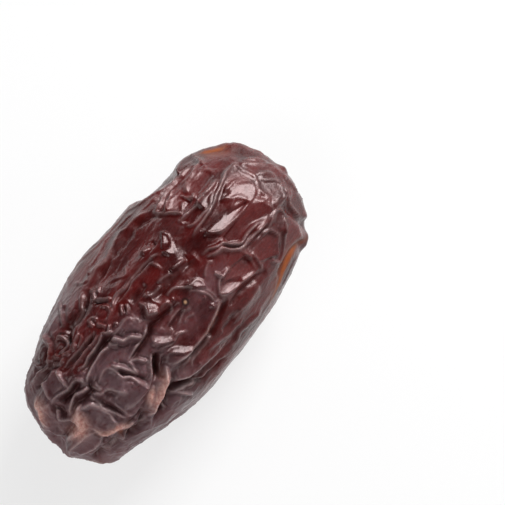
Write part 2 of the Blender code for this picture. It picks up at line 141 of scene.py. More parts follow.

# The red band that the grey bloom of wax, partly a painted sheen, leaves free, and its haze, also a painted
# sheen, by place along and across the body.
RED_BAND_MIDDLE = 4.1
RED_BAND_HALF_WIDTH = 3.8
RED_BAND_START = -20.5
RED_BAND_FADE = 2.5
HAZE = 0.4
HAZE_MIDDLE = (-1.5, -6.3)
HAZE_SPREAD = (6.5, 2.7)

# The share of small creases, which grows towards the stem end.
CREASE_SHARE = 0.35
CREASE_SHARE_PER_MM = 0.05
CREASE_SHARE_LIMITS = (0.3, 1.0)

# Broad forms, each (rise, half width, points...): a rise below zero is a dip.
SWELLS = (
    (-0.60, 1.9, -5, 8.2, -1, 8.1, 3, 8, 6.5, 7.5, 10.5, 6.6),
    (-0.65, 2.0, -4.5, -3.2, -1, -4, 2, -4, 5.5, -3.6),
    # the outline's notch behind the far shoulder, and the shoulders of both ends
    (-1.75, 3.1, 8.8, 12.6, 10.6, 12.2, 12.8, 11.8, 15, 11.2, 18.6, 10.9),
    (0.60, 1.6, 15.6, 10.7, 17.6, 10.4, 19.6, 9.9, 21.2, 8.8, 22.6, 7.4, 24, 5.6, 24.8, 3.6),
    (0.32, 1.9, 23.4, 6.2, 24.6, 4, 25.3, 1.6, 25.4, -1.4, 25, -3.6),
    (0.55, 2.6, -11, 11.2, -7, 12, -3, 12.4, 2, 12.4, 6, 12.2),
    (0.55, 1.6, 22.2, 7.8, 23.4, 6.4, 24.4, 4.8, 25, 3),
    (0.75, 1.7, 18.4, -10.2, 20, -9.6, 21.5, -8.2),
    (-0.30, 1.2, 23.6, -5.6, 24.8, -3.6),
    (0.50, 1.6, -22.6, -4.6, -21.4, -6.4, -19.9, -7.6, -18.4, -8.4),
    (-0.95, 2.0, -20, -8, -17, -8.9, -14, -9.8, -10, -10.8, -5, -11.6),
    (-0.45, 2.2, -23.6, -2.6, -23.2, 1, -22.2, 4.4),
    (0.55, 1.8, -22.8, 3.4, -21.4, 5.8, -20, 7.2, -18.2, 8.6, -15.6, 9.8),
    # the hollows and rounds between the folds
    (-0.50, 1.4, 7, 3, 9.2, 1.6, 10.8, 0.2),
    (0.45, 2.4, -15, -2.4, -12, -2.8, -8.5, -2.6),
    (-0.70, 0.8, -22.4, -0.3, -20.6, -0.5, -18.8, -0.1),
    (-0.80, 0.8, -13.5, -8.7, -10.5, -8.4, -7.6, -8.1, -5, -8.9, -1, -9.6, 3, -9.9, 8, -9.6),
    (0.35, 1.4, -6.5, 2, -4.2, 1.6, -2.2, 1.9),
    (0.35, 1.4, -15.5, 9, -11.5, 9.6, -7, 10.4),
)

# Flat plates between the folds, each (rise, lean along, lean across, corners...). The leans are the angles,
# in degrees, by which the plate faces away from SIGHT, towards the tip and towards the far side.
PLATES = (
    # the tip's window, and the bright and dark bands that lead to it
    (0.05, 37, 7, 16.8, 2.6, 18.3, 2.4, 20, 2.3, 21.3, 0.8, 21, 0.1, 20.2, -0.4, 18.9, -0.5, 18.6, 0.6,
     17.8, 1.4),
    (-0.10, 42, 17, 18, 3.1, 20.2, 4.3, 21.7, 4.5, 22.1, 3, 22.3, 1.2, 21.4, 0.8, 20.2, 2.1, 19, 2.2),
    (0.10, 36, 5, 11.7, 1.6, 13.5, 1.4, 15.3, 1, 16.8, 0.6, 18.6, -0.1, 17, -0.3, 14.2, -0.1, 13, 0.2,
     12.2, 0.8),
    (-0.15, 22, 16, 12.5, 1.9, 15.2, 1.4, 17, 1, 18, 1.5, 16.9, 2.4, 16.5, 2.9, 14, 2.6, 12, 2.5),
    (-0.35, 23, -14, 13, -0.7, 19, -0.8, 20.2, -1.9, 20.1, -3.4, 18.6, -3.3, 17, -2.7, 14.2, -2.8,
     13, -1.6),
    (0.20, 30, -14, 16.2, -3.3, 17.8, -3.3, 18.4, -3.7, 18.2, -4, 16.4, -3.8),
    # the tip's end
    (-0.10, 43, -1, 21.3, -0.4, 22.4, 0.8, 23.4, -1, 23.5, -2, 22.2, -3.8, 20.4, -3.6, 21, -2.2,
     21.3, -1.2),
    (-0.10, 54, 14, 22.4, 1.4, 22.2, 3.6, 23.1, 3, 24.3, 1.2, 24.7, 0.1, 23.4, 0.6),
    (-0.10, 54, -14, 22.9, 0.5, 24.6, -0.4, 24.5, -2.4, 24.1, -3.5, 22.9, -3.5, 23.8, -2, 23.7, -1),
    (0.00, 60, 44, 22, 4.6, 23.4, 3.6, 24.6, 2, 24.8, 3, 24.2, 4.6, 23.2, 5.9, 22.2, 5.8),
    (0.00, 52, -36, 21.4, -4.5, 22.6, -4.7, 24, -4.1, 23.5, -5.6, 21.7, -7.9, 21.4, -6.5),
    # the tip's near side
    (0.00, 32, -22, 13.4, -4.4, 17.4, -5, 17.6, -6.4, 15.7, -7.7, 14.5, -7, 13.5, -6.4),
    (0.10, 36, -17, 18.3, -5, 20.2, -4.4, 20.4, -5.2, 18.5, -6.7),
    (-0.10, 36, -48, 16.2, -8.5, 18.2, -7.5, 20.3, -6.2, 20.5, -7.5, 19.4, -8.8, 17.2, -8.8),
    # the arrowhead of skin on the near side
    (0.00, 34, -5, 6.8, -5.1, 7.5, -4.5, 8.9, -4.9, 10, -5.8, 9.4, -6.2, 8.3, -5.9, 7.3, -5.6),
    (-0.20, 29, -15, 8.6, -4, 10.6, -4.1, 12.8, -4.6, 13, -5.6, 12.5, -6.9, 11, -6.5, 9.9, -6.1, 9, -4.9),
    (0.20, 36, 0, 8.5, -3, 8.9, -3.5, 10.4, -3.5, 10.3, -4, 8.5, -3.9),
    # the tip's far side
    (0.10, 33, 22, 10.9, 7.5, 12.3, 5.9, 14.2, 5.9, 14.2, 7.9, 11.6, 7.9),
    (0.00, 34, 30, 14.8, 7.8, 14.9, 5.8, 18.6, 5.8, 19, 7.3, 17, 7.8),
    (0.20, 37, 5, 14.2, 4.9, 18.6, 4.8, 18, 4.3, 16, 3.8, 14.3, 3.7),
    (-0.10, 20, 24, 11.3, 5, 13.8, 4.8, 14.1, 3.9, 11.9, 4.1),
    # small bright facets of the middle
    (0.20, 30, 6, -4.1, -1.8, -3.1, -1.4, -2.6, -2.2, -1.6, -3.4, -2.1, -4, -3.2, -3.2, -3.9, -2.5),
    (0.15, 32, -13, -3.8, -4.5, -3.1, -4.6, -2.1, -5.4, -1.2, -6.1, -1.8, -6.4, -2.8, -5.8),
    (0.20, 29, 11, -1.5, 1.1, -1, 2.1, -0.5, 1.9, 0.1, 1, -0.1, 0.3, -0.4, 0),
    (0.25, 37, 7, 5.3, 2.35, 6.5, 2.15, 7.9, 1.95, 7.9, 1.5, 6.5, 1.65, 5.3, 1.95),
    (0.15, 36, 5, 4.5, 6.9, 5.6, 6.75, 6.7, 6.65, 6.7, 6.2, 5.6, 6.3, 4.6, 6.5),
    (0.20, 34, 4, -7.1, 2.7, -6.5, 2.6, -6.1, 1.4, -6.6, 1.3),
    (0.20, 34, 4, -5.6, 1.1, -5, 1, -4.2, -0.2, -4.8, -0.2),
    (0.20, 37, 7, 4.7, -0.6, 6.2, -1, 6.8, -1.9, 6.2, -2.8, 5.3, -1.9),
    (0.25, 36, 6, 6.3, 4.4, 6.5, 3.6, 7.1, 3.1, 7.7, 3.5, 8.4, 4.2, 8.1, 4.6, 7.3, 4.1),
    (0.25, 36, 6, 6.8, 5, 7.7, 4.9, 8.6, 5.1, 8.8, 5.9, 8.3, 6.3, 7.6, 5.6),
    # the stem end
    (0.10, -16, -10, -18, -1.6, -16.8, 0.3, -15.8, -0.5, -15.5, -2.5, -15.5, -4.5, -16.3, -4.7,
     -17.6, -3.5),
    (0.05, -36, -22, -22, -1.5, -21, -1.6, -19.6, -2.4, -18.7, -3, -18.5, -4.2, -20.2, -4.2, -21.6, -3.2),
    (0.05, -14, 24, -18.5, 4.6, -17.6, 6.2, -16, 6.1, -15.8, 5.2, -16.3, 4, -18.2, 4.1),
    (0.10, -10, -16, -13.6, -2.8, -12.4, -1.8, -11.4, -3.6, -9.6, -3.4, -9.3, -5, -12, -4.8, -13.6, -4.4),
    (0.00, 2, 4, -12.4, 0.4, -10.6, 0.6, -10.4, -1.6, -11.6, -2.4, -12.2, -1.3),
)

# Crests, each (height, reach, points...). The skin rises to a crest from its reach on either side.
CRESTS = (
    # the long rim between the upper side and the near flank
    (0.55, 0.80, -5.2, -5.8, -4, -6.1, -3, -6.5, -2, -6.7, 0, -6.8, 1.5, -6.8, 3, -6.5, 4.5, -6.1,
     5.5, -5.8, 6.3, -5.4),
    (0.23, 0.39, -4.8, -6.7, -3.6, -7.3, -2, -7.6, 0, -7.5, 2, -7.4, 4.4, -7.1),
    # the near flank, under the rim
    (0.40, 0.70, -6.4, -7.4, -5.2, -8.3, -4.2, -9, -3.2, -9.3, -2, -9.3, -1, -9.6, 0.4, -9.9, 2.4, -10,
     4.6, -10),
    (0.26, 0.29, -3.3, -8.4, -2.9, -7.9, -2, -7.8, 0, -7.85, 2, -7.7),
    (0.42, 0.39, -8.4, -8.1, -7.4, -8.8, -6.4, -9.4, -5.4, -9.9, -4.4, -10.3, -3, -10.5, -1, -10.8, 1, -11),
    (0.34, 0.29, -7.4, -8.9, -6.8, -9.7, -6.2, -10.6),
    (0.40, 0.29, -10.1, -9.3, -9.8, -8.7, -9.2, -8.4, -8.6, -8.2, -8.2, -8.6),
    (0.30, 0.33, -0.6, -8.6, 1, -8.8, 3, -9.3, 4.6, -9.6, 6.4, -9.7),
    (0.30, 0.39, 1.6, -10.7, 3.2, -10.8, 4.6, -10.5, 6.5, -10.7, 8.5, -10.9),
    (0.30, 0.70, 5, -8.6, 8, -8.7, 11, -8.6),
    (0.27, 0.39, -21.2, -4.9, -20, -5.7, -19, -6.2, -18, -6.5, -17, -6.6, -16.2, -6.7, -15.3, -7.2,
     -14, -7.5, -12.6, -7.9),
    (0.23, 0.33, 11.6, -11.3, 13.5, -10.9, 15, -10.5, 16.5, -10.2, 18.5, -10.1, 19.8, -9.8),
    # the stem end
    (0.39, 0.36, -18.9, 1, -17.8, 1.6, -17, 1.9, -16.3, 2.15, -15.8, 2, -15.2, 1.5, -14.6, 1.3,
     -14.1, 1.25),
    (0.31, 0.29, -19.1, 4, -17.9, 4, -17, 3.65, -16.2, 3.4, -15, 3.4, -14.4, 3.2, -14, 2.6, -14.15, 2,
     -14, 1.3),
    (0.31, 0.33, -18.8, 4.3, -18.2, 5.1, -17.7, 5.8, -17.3, 6.6),
    (0.33, 0.29, -15.1, 6.2, -15.25, 5.6, -15.6, 5, -15.7, 4.4, -16.1, 3.5),
    (0.33, 0.29, -19.2, 3.5, -19.4, 2.7, -19.8, 2.1, -20.1, 1.7, -19.9, 1.2, -19.4, 0.7, -18.8, 0.3),
    (0.35, 0.36, -22.2, -1.8, -21.2, -2.2, -20.4, -2.4, -19.6, -2.5, -18.9, -2.9, -18.3, -3.6),
    (0.31, 0.39, -22.2, -3.4, -21.2, -4, -20.4, -4.4, -19.4, -4.6, -18.2, -4.6),
    # the plates behind the stem end
    (0.33, 0.39, -17.4, 0.5, -16.6, 0, -15.9, -0.3, -15.6, -0.9, -15.5, -1.7, -15.3, -2.5, -15.3, -3.2,
     -15.5, -4, -15.9, -5),
    (0.35, 0.39, -15.5, -0.5, -15.3, -1.8, -14.9, -3, -14.7, -4, -14.3, -5.5),
    (0.22, 0.23, -15, 0.4, -14.95, -0.5, -14.95, -1.3, -15, -2.2),
    (0.31, 0.39, -14.9, 0.6, -14.2, 0, -13.9, -0.5, -13.4, -0.8, -12.8, -1, -12.4, -1.4, -12.2, -2,
     -11.9, -2.6, -11.4, -3.4),
    (0.22, 0.29, -13.8, -2.8, -13.8, -4, -13.7, -5, -13.6, -5.9),
    (0.27, 0.22, -13.8, 1.2, -13.75, 0.4, -13.5, -0.3),
    (0.27, 0.22, -13.1, 1, -13.3, 0.2, -13.4, -0.5),
    (0.23, 0.39, -12.8, 0.3, -12.4, 0.7, -11.8, 0.9, -11, 1, -10.4, 0.7, -10.2, 0.1, -10.2, -0.6,
     -10.4, -1.8),
    (0.39, 0.39, -9.95, 0.9, -9.6, -0.1, -9.3, -0.8, -9.1, -1.3, -8.9, -2, -8.6, -3.2),
    (0.23, 0.33, -10.4, -1.4, -9.8, -2, -9.5, -2.5, -9.4, -3.4, -9.1, -4.3, -8.8, -5.2),
    (0.22, 0.39, -13.9, -4.5, -12.5, -4.7, -11.5, -5, -10.5, -5.2, -9.3, -5.2, -8, -5),
    (0.25, 0.29, -8.7, -3, -8.3, -2, -8, -1),
    (0.25, 0.29, -7.9, -1, -7.2, -1.5, -6.8, -2.3, -6.2, -3.1),
    (0.28, 0.36, -8.3, -5.1, -7.6, -4.5, -7, -4, -6, -3.1, -5.3, -2.7),
    # the upper left
    (0.50, 0.44, -18.8, 7.7, -17, 8, -15.6, 7.8, -14.4, 8.1, -13.3, 8.8, -12.6, 9.6, -12.3, 10.6),
    (0.33, 0.29, -16.3, 7.9, -15.9, 8.5, -16.2, 9.2, -15.9, 9.8),
    (0.40, 0.29, -18.4, 7.1, -17.4, 7.2, -16.3, 7.2, -15.6, 7.35, -14.9, 7.35, -14.2, 6.8, -13.6, 6.5,
     -13, 6.1),
    (0.23, 0.22, -14.2, 7.6, -13.9, 7.65, -13.5, 7.3, -13.3, 7.2),
    (0.46, 0.29, -13.2, 7.6, -12.2, 7.4, -11.5, 7.5, -11.1, 7.9, -11, 8.4, -11.3, 8.8, -12, 8.6),
    (0.27, 0.26, -13, 6.9, -12.3, 6.6, -11.9, 6.3),
    (0.36, 0.26, -11.6, 6, -10.9, 6.3, -10.5, 6.65, -10, 6.7, -9.2, 6.8),
    (0.22, 0.23, -9.2, 6.5, -9.9, 6.1, -11, 5.9),
    (0.20, 0.26, -12.9, 4.4, -12.2, 4.45, -11.7, 4.3),
    (0.39, 0.33, -13.2, 4.3, -12.6, 3.75, -12, 3.8, -11, 3.95, -9.5, 4, -8, 4.2, -7, 4.3),
    (0.37, 0.36, -14, 1.9, -12.8, 2.3, -11.6, 2.6, -10.4, 2.8, -9.3, 2.8, -8.2, 2.5, -7.6, 2.7),
    (0.30, 0.28, -14, 5.7, -11.5, 5.6, -10, 5.6, -7.8, 5.5),
    (0.28, 0.28, -13.6, 4.6, -11.5, 4.65, -9.5, 4.7, -7.6, 4.75),
    (0.20, 0.29, -9.8, 9, -9.4, 9.6, -8.5, 10.1, -7.9, 11, -7.5, 11.8),
    (0.23, 0.33, -9.4, 8.6, -8.6, 8.5, -7.5, 8.4, -6.6, 8.6, -6.2, 9, -5.4, 9.5, -4.5, 10),
    (0.36, 0.36, -7.9, 2.9, -7.5, 2.3, -7.1, 1.7),
    (0.43, 0.39, -7.4, 3.1, -6.9, 2.5, -6.4, 1.5, -5.9, 1.3, -5.3, 0.95, -4.8, 0.2, -4.3, -0.4),
    (0.16, 0.33, -7, 2.8, -5.5, 2.85, -4, 2.85, -3.2, 2.5),
    (0.33, 0.23, -7.2, 4.4, -6.8, 3.8, -6.2, 3.35),
    (0.33, 0.23, -6.9, 3.9, -6.2, 4, -5.7, 4.3),
    (0.22, 0.23, -6.2, 4.4, -6.6, 5.3, -6.8, 5.8),
    (0.19, 0.26, -7.4, 5.8, -6.9, 6.7, -6.4, 6.5, -6.2, 5.8),
    (0.20, 0.29, -4.7, 6.5, -4.3, 6.4, -4, 5.9, -4.4, 5.2),
    (0.28, 0.26, -4.9, 8.4, -4.2, 7.8, -3.6, 7.2, -3.1, 6.7, -2.7, 6.2),
    (0.30, 0.23, -4.3, 8.1, -3.9, 8.5, -3.4, 9),
    (0.28, 0.23, -3.4, 8.1, -3, 8.5, -2.5, 8.8),
    (0.22, 0.26, -3.6, 3.7, -3, 4.4, -2.5, 4.7),
    (0.20, 0.23, -3.3, 3.4, -2.6, 3.6, -2.2, 4.3),
    (0.19, 0.29, -4.2, 11.5, -3.7, 10.7, -2.6, 10.2),
    # the far shoulder, in long bands
    (0.27, 0.39, -5.8, 11.3, -4.6, 12.1, -3, 12.3, 0, 12.2, 2.5, 12, 4.5, 12.05, 7.9, 11.95, 8.6, 11.6,
     9.5, 11.2, 10.9, 10.85, 12.3, 10.5, 13.6, 10, 14.6, 9.85),
    (0.27, 0.39, -1.6, 11.3, 0, 11.3, 1.5, 11.5, 3, 11.75, 5, 11.6, 7, 11.5, 8.4, 11.2),
    (0.40, 0.80, -3.4, 10.1, -1, 10.4, 1, 10.3, 2.4, 10.5, 4.5, 10.9, 6, 10.6, 8, 10.4, 9.6, 9.8),
    (0.17, 0.29, 8.4, 10.5, 10, 10.2, 12, 10.1),
    # the middle
    (0.27, 0.29, -5.8, 4.9, -4.8, 5, -3.8, 5.3, -3, 5.8, -2, 6, -1.5, 6, -0.9, 5.8, 0, 5.8, 1.5, 5.95,
     3, 5.9, 4.2, 5.6, 5.2, 5.3, 5.8, 4.9, 6, 4.2),
    (0.19, 0.26, -2.2, 5, -0.5, 5.2, 1, 5.4, 2.2, 5.2, 3.4, 5.2, 4.2, 5, 4.4, 4.2, 4.4, 3),
    (0.17, 0.33, -1.4, 8.3, -0.4, 7.8, 0.4, 7.3, 0.9, 6.9, 1.4, 7.2, 2, 7.8),
    (0.12, 0.22, 4.5, 6.75, 5.5, 6.5, 6.6, 6.4),
    (0.20, 0.22, 4.7, 7.1, 5.2, 7.2, 5.8, 7.05),
    (0.36, 0.29, -1, 3.1, -0.85, 2.4, -1.1, 1.7, -1.55, 1.05, -1, 0.5, -0.35, -0.1),
    (0.23, 0.39, 0, 3.1, 0.8, 2.35, 1.6, 2.15, 3, 2.1),
    (0.33, 0.33, 2.7, 2.7, 4, 2.35, 5.1, 2.15),
    (0.15, 0.33, 5.3, 2.15, 6.5, 1.9, 7.9, 1.7),
    (0.20, 0.23, 8.4, 6.2, 8.65, 5.5, 8.3, 4.8),
    (0.42, 0.50, 2.2, 0.6, 3.4, 0.5, 4, 0.1, 4.4, -0.5, 4.8, -1.1, 5.1, -1.7),
    (0.12, 0.23, 5, -1.2, 5.8, -1.05, 6.35, -1.3, 6.5, -1.9, 6.3, -2.6),
    (0.23, 0.33, 4.2, -1.3, 4.8, -1.8, 5.2, -2.4, 5.5, -3.2, 5.7, -4.2, 5.4, -5.2),
    (0.17, 0.26, 5.6, -2.3, 6, -3.2, 6.1, -4.2, 6, -5),
    (0.12, 0.36, -3.2, -1.1, -3.9, -1.8, -4, -2.1, -3.6, -2.7, -3.1, -3.3, -2.6, -3.75, -1.9, -3.9),
    (0.12, 0.33, -3.8, -4.4, -3.3, -5.1, -2.7, -5.6, -1.8, -6.2),
    (0.20, 0.26, -4.4, -3.1, -3.4, -3.65, -2.8, -4.05, -2, -4.25, -1, -4.15, -0.4, -4.4, 0.4, -5),
    (0.27, 0.39, -8.2, -0.75, -6, -0.5, -4.8, -0.5, -3.4, -0.2, -2.4, 0.3),
    (0.20, 0.26, 0, 0.1, 1, 0.2, 1.5, -0.2, 1.6, -0.8, 1.2, -1.3, 0.2, -1.4),
    (0.17, 0.33, -0.8, -2, 0.8, -1.9, 2, -2.1),
    (0.20, 0.26, 0, -3.2, 1.4, -2.9, 2.3, -2.85, 3, -3.2),
    (0.17, 0.33, 0.8, -3.9, 1.5, -3.6, 2.6, -4),
    # the plates of the tip end
    (0.30, 0.35, 12.6, -7.2, 11.3, -6.8, 10, -6.4, 8.6, -6.15, 7.4, -5.85, 6.7, -5.2, 7.3, -4.4, 7.9, -3.9,
     8.5, -3.75, 9.4, -3.75, 10.6, -3.9),
    (0.23, 0.26, 8.4, -2.6, 8.6, -3.1, 8.8, -3.7),
    (0.19, 0.26, 7.3, -2.1, 7.7, -1.6, 8.3, -1.3, 9, -1.2, 9.6, -1.6),
    (0.62, 0.33, 9.4, 0.3, 10.6, 0, 11.4, -0.6, 12, -0.85, 12.4, -1, 12.8, -1.6, 13.1, -2.2, 13.6, -2.8,
     14.2, -3.1, 15.2, -3, 16.2, -2.95, 17.2, -3.1, 18.2, -3.5),
    (0.62, 0.33, 9.6, -0.3, 10.5, -0.9, 11.3, -1.25, 11.8, -1.5, 12.2, -2.1, 12.7, -2.8, 13.3, -3.4,
     14.2, -3.65, 15.4, -3.7, 16.6, -3.85, 18.4, -4.05),
    (0.23, 0.36, 12.2, -1.9, 12.9, -3.2, 13.2, -4.3, 13.1, -5.2, 12.8, -6, 12.4, -7),
    (0.20, 0.29, 13.9, -5, 13.4, -6.2, 13.1, -7, 12.6, -7.5),
    (0.30, 0.24, 16.6, -4.5, 17.4, -4.8, 17.8, -5.2, 17.9, -5.8, 18, -6.8),
    (0.36, 0.24, 17.6, -4.9, 18.6, -4.5, 19.4, -4.1, 20.2, -4, 20.8, -4.3, 21, -5.2),
    (0.36, 0.28, 14.2, -7.4, 14.7, -8.2, 15.1, -8.8, 16, -8.6, 17, -8.1, 18, -7.5, 19, -6.7, 20, -5.9,
     20.6, -5.3),
    (0.70, 0.39, 9.8, 9.2, 10.3, 9.15, 11.2, 9.25, 12.2, 9.5, 13.4, 9.75, 14.6, 9.65, 16, 9.55, 17.5, 9.3,
     18.8, 8.9),
    (0.55, 0.36, 10, 9.4, 10.2, 8.8, 10.4, 8.2, 10.9, 8, 12, 8.3, 13, 8.6, 14.2, 9.1),
    (0.47, 0.39, 10.4, 7.9, 11.2, 7.2, 11.8, 6.5, 12.3, 5.8),
    (0.22, 0.26, 12.1, 5.8, 12.8, 6.4, 13.6, 6.8),
    (0.36, 0.29, 14, 7.6, 14.2, 6.9, 14.5, 6.4, 14.9, 6, 15.4, 6.5),
    (0.28, 0.26, 14.6, 7.2, 15.4, 7.6, 16, 8),
    (0.19, 0.33, 16, 8, 17, 7.6, 18, 7.4, 18.8, 6.8, 19.3, 6),
    (0.50, 0.33, 15, 8.7, 16, 8.4, 17, 8.2, 17.8, 8.3, 18.7, 8.4, 19.4, 8.55),
    (0.65, 0.30, 19.35, 7.9, 19.35, 9, 19.5, 10.1),
    (0.27, 0.33, 14.2, 9.95, 16, 10.1, 18, 10.15, 19.4, 10),
    (0.45, 0.39, 10.8, 5.5, 12.2, 5.4, 13.2, 5.2, 14.2, 4.95, 15, 5.1, 15.7, 5.25, 16.4, 5, 17.2, 4.85,
     18.8, 5.1),
    (0.39, 0.33, 11.1, 4.5, 11.7, 3.8, 12.6, 3.6, 14, 3.5, 15.2, 3.5, 16.2, 4, 17.2, 4.4),
    (0.45, 0.32, 10.4, 2.8, 12.2, 3, 14, 3, 15.6, 3.3, 17.2, 3.8, 18.8, 4.2, 20.2, 4.6, 21.1, 4.7,
     21.9, 4.5),
    (0.28, 0.22, 21.5, 4.8, 21.9, 4.2, 22, 3.2, 22.2, 2.3, 22.3, 1.4, 22.3, 0.6),
    (0.14, 0.30, 11.6, 1.8, 12.3, 1, 12.9, 0.4, 13.4, 0.05, 14.5, -0.15, 16, -0.25, 17.5, -0.3, 18.9, -0.4),
    (0.09, 0.26, 16.8, 2.9, 17.2, 2.2, 17.9, 1.7, 18.6, 1.2, 18.9, 0.5, 18.9, -0.4, 19.5, -0.5, 20.2, -0.3,
     21, 0.2, 21.7, 0.7, 22.4, 1.15),
    (0.16, 0.20, 16.7, 2.85, 17.6, 2.9, 18.6, 3, 19.6, 3, 20.6, 2.7),
    (0.26, 0.22, 22.3, 1, 21.8, 0.3, 21.3, -0.3, 21.2, -1.1, 21.2, -1.8, 20.8, -2.3, 20.4, -2.9,
     20.25, -3.7),
    (0.26, 0.22, 22.4, 0.9, 22.9, -0.2, 23.3, -0.9, 23.6, -1.6, 23.6, -2.2, 23.2, -2.9, 22.6, -3.6,
     22, -4.05, 21, -3.95, 20.1, -3.6),
    (0.20, 0.26, 19.5, -0.6, 19.9, -1.1, 20.3, -1.6, 21, -2.4),
    (0.17, 0.23, 20.4, -3, 21.3, -3.2, 22.4, -3.1),
    (0.28, 0.22, 21.9, 4.6, 22.4, 4.1, 23, 3.3, 23.6, 2.4, 24.2, 1.4, 24.9, 0.2),
    (0.22, 0.23, 22.4, 4.3, 23.2, 3.6, 23.8, 2.9, 24.4, 1.9, 24.8, 1),
    (0.22, 0.23, 22.5, 1.1, 23.1, 0.8, 23.6, 0.2, 24, -0.6, 23.9, -1.4),
    (0.34, 0.25, 20, -9.9, 20.6, -9.3, 21, -8.2, 21.6, -7, 22, -6, 22.3, -5, 22.9, -4.2, 23.6, -3.2,
     24.4, -2.2),
    (0.38, 0.25, 21.3, -8.7, 22, -7.9, 23, -6.9, 24, -5.6, 24.4, -4.2, 24.6, -3, 25, -1.8),
    (0.22, 0.26, 21.7, -8, 22.4, -7, 23.3, -6.2, 24.2, -5.1),
    (0.36, 0.25, 23.4, 6.2, 24.2, 5.2, 24.8, 4.2, 25.1, 3, 25.2, 1.5),
)

# Crests whose skin has dried to a pale tan, as above.
TAN_CRESTS = (
    (0.60, 0.60, -12.4, -8.1, -11, -7.7, -10, -7.4, -9, -7.2, -8, -6.9, -7, -6.5, -6.2, -6, -5.2, -5.4),
    (0.25, 0.38, -11.4, -7, -10.3, -6.5, -9.4, -6, -8.4, -5.7),
    (0.35, 0.45, -18.4, -2.2, -18.2, -2.9, -18.1, -3.6, -17.8, -4.3, -17.3, -4.8, -16.6, -5, -16, -5.3,
     -15.5, -5.8, -15, -6.4, -14, -6.8),
    (0.35, 0.90, -19, 4.1, -19.9, 4.2, -20.3, 5.1, -20.3, 4.6, -20.8, 4.2, -21.3, 3.6, -21.5, 3, -21.8, 2),
    (0.45, 0.90, -22.2, -0.9, -21, -0.9, -20.2, -1.3, -19.6, -1.6, -19, -1.3, -18.6, -0.8, -18.3, -0.2,
     -17.8, 0.2, -17.2, 0.65, -16.6, 0.5),
)

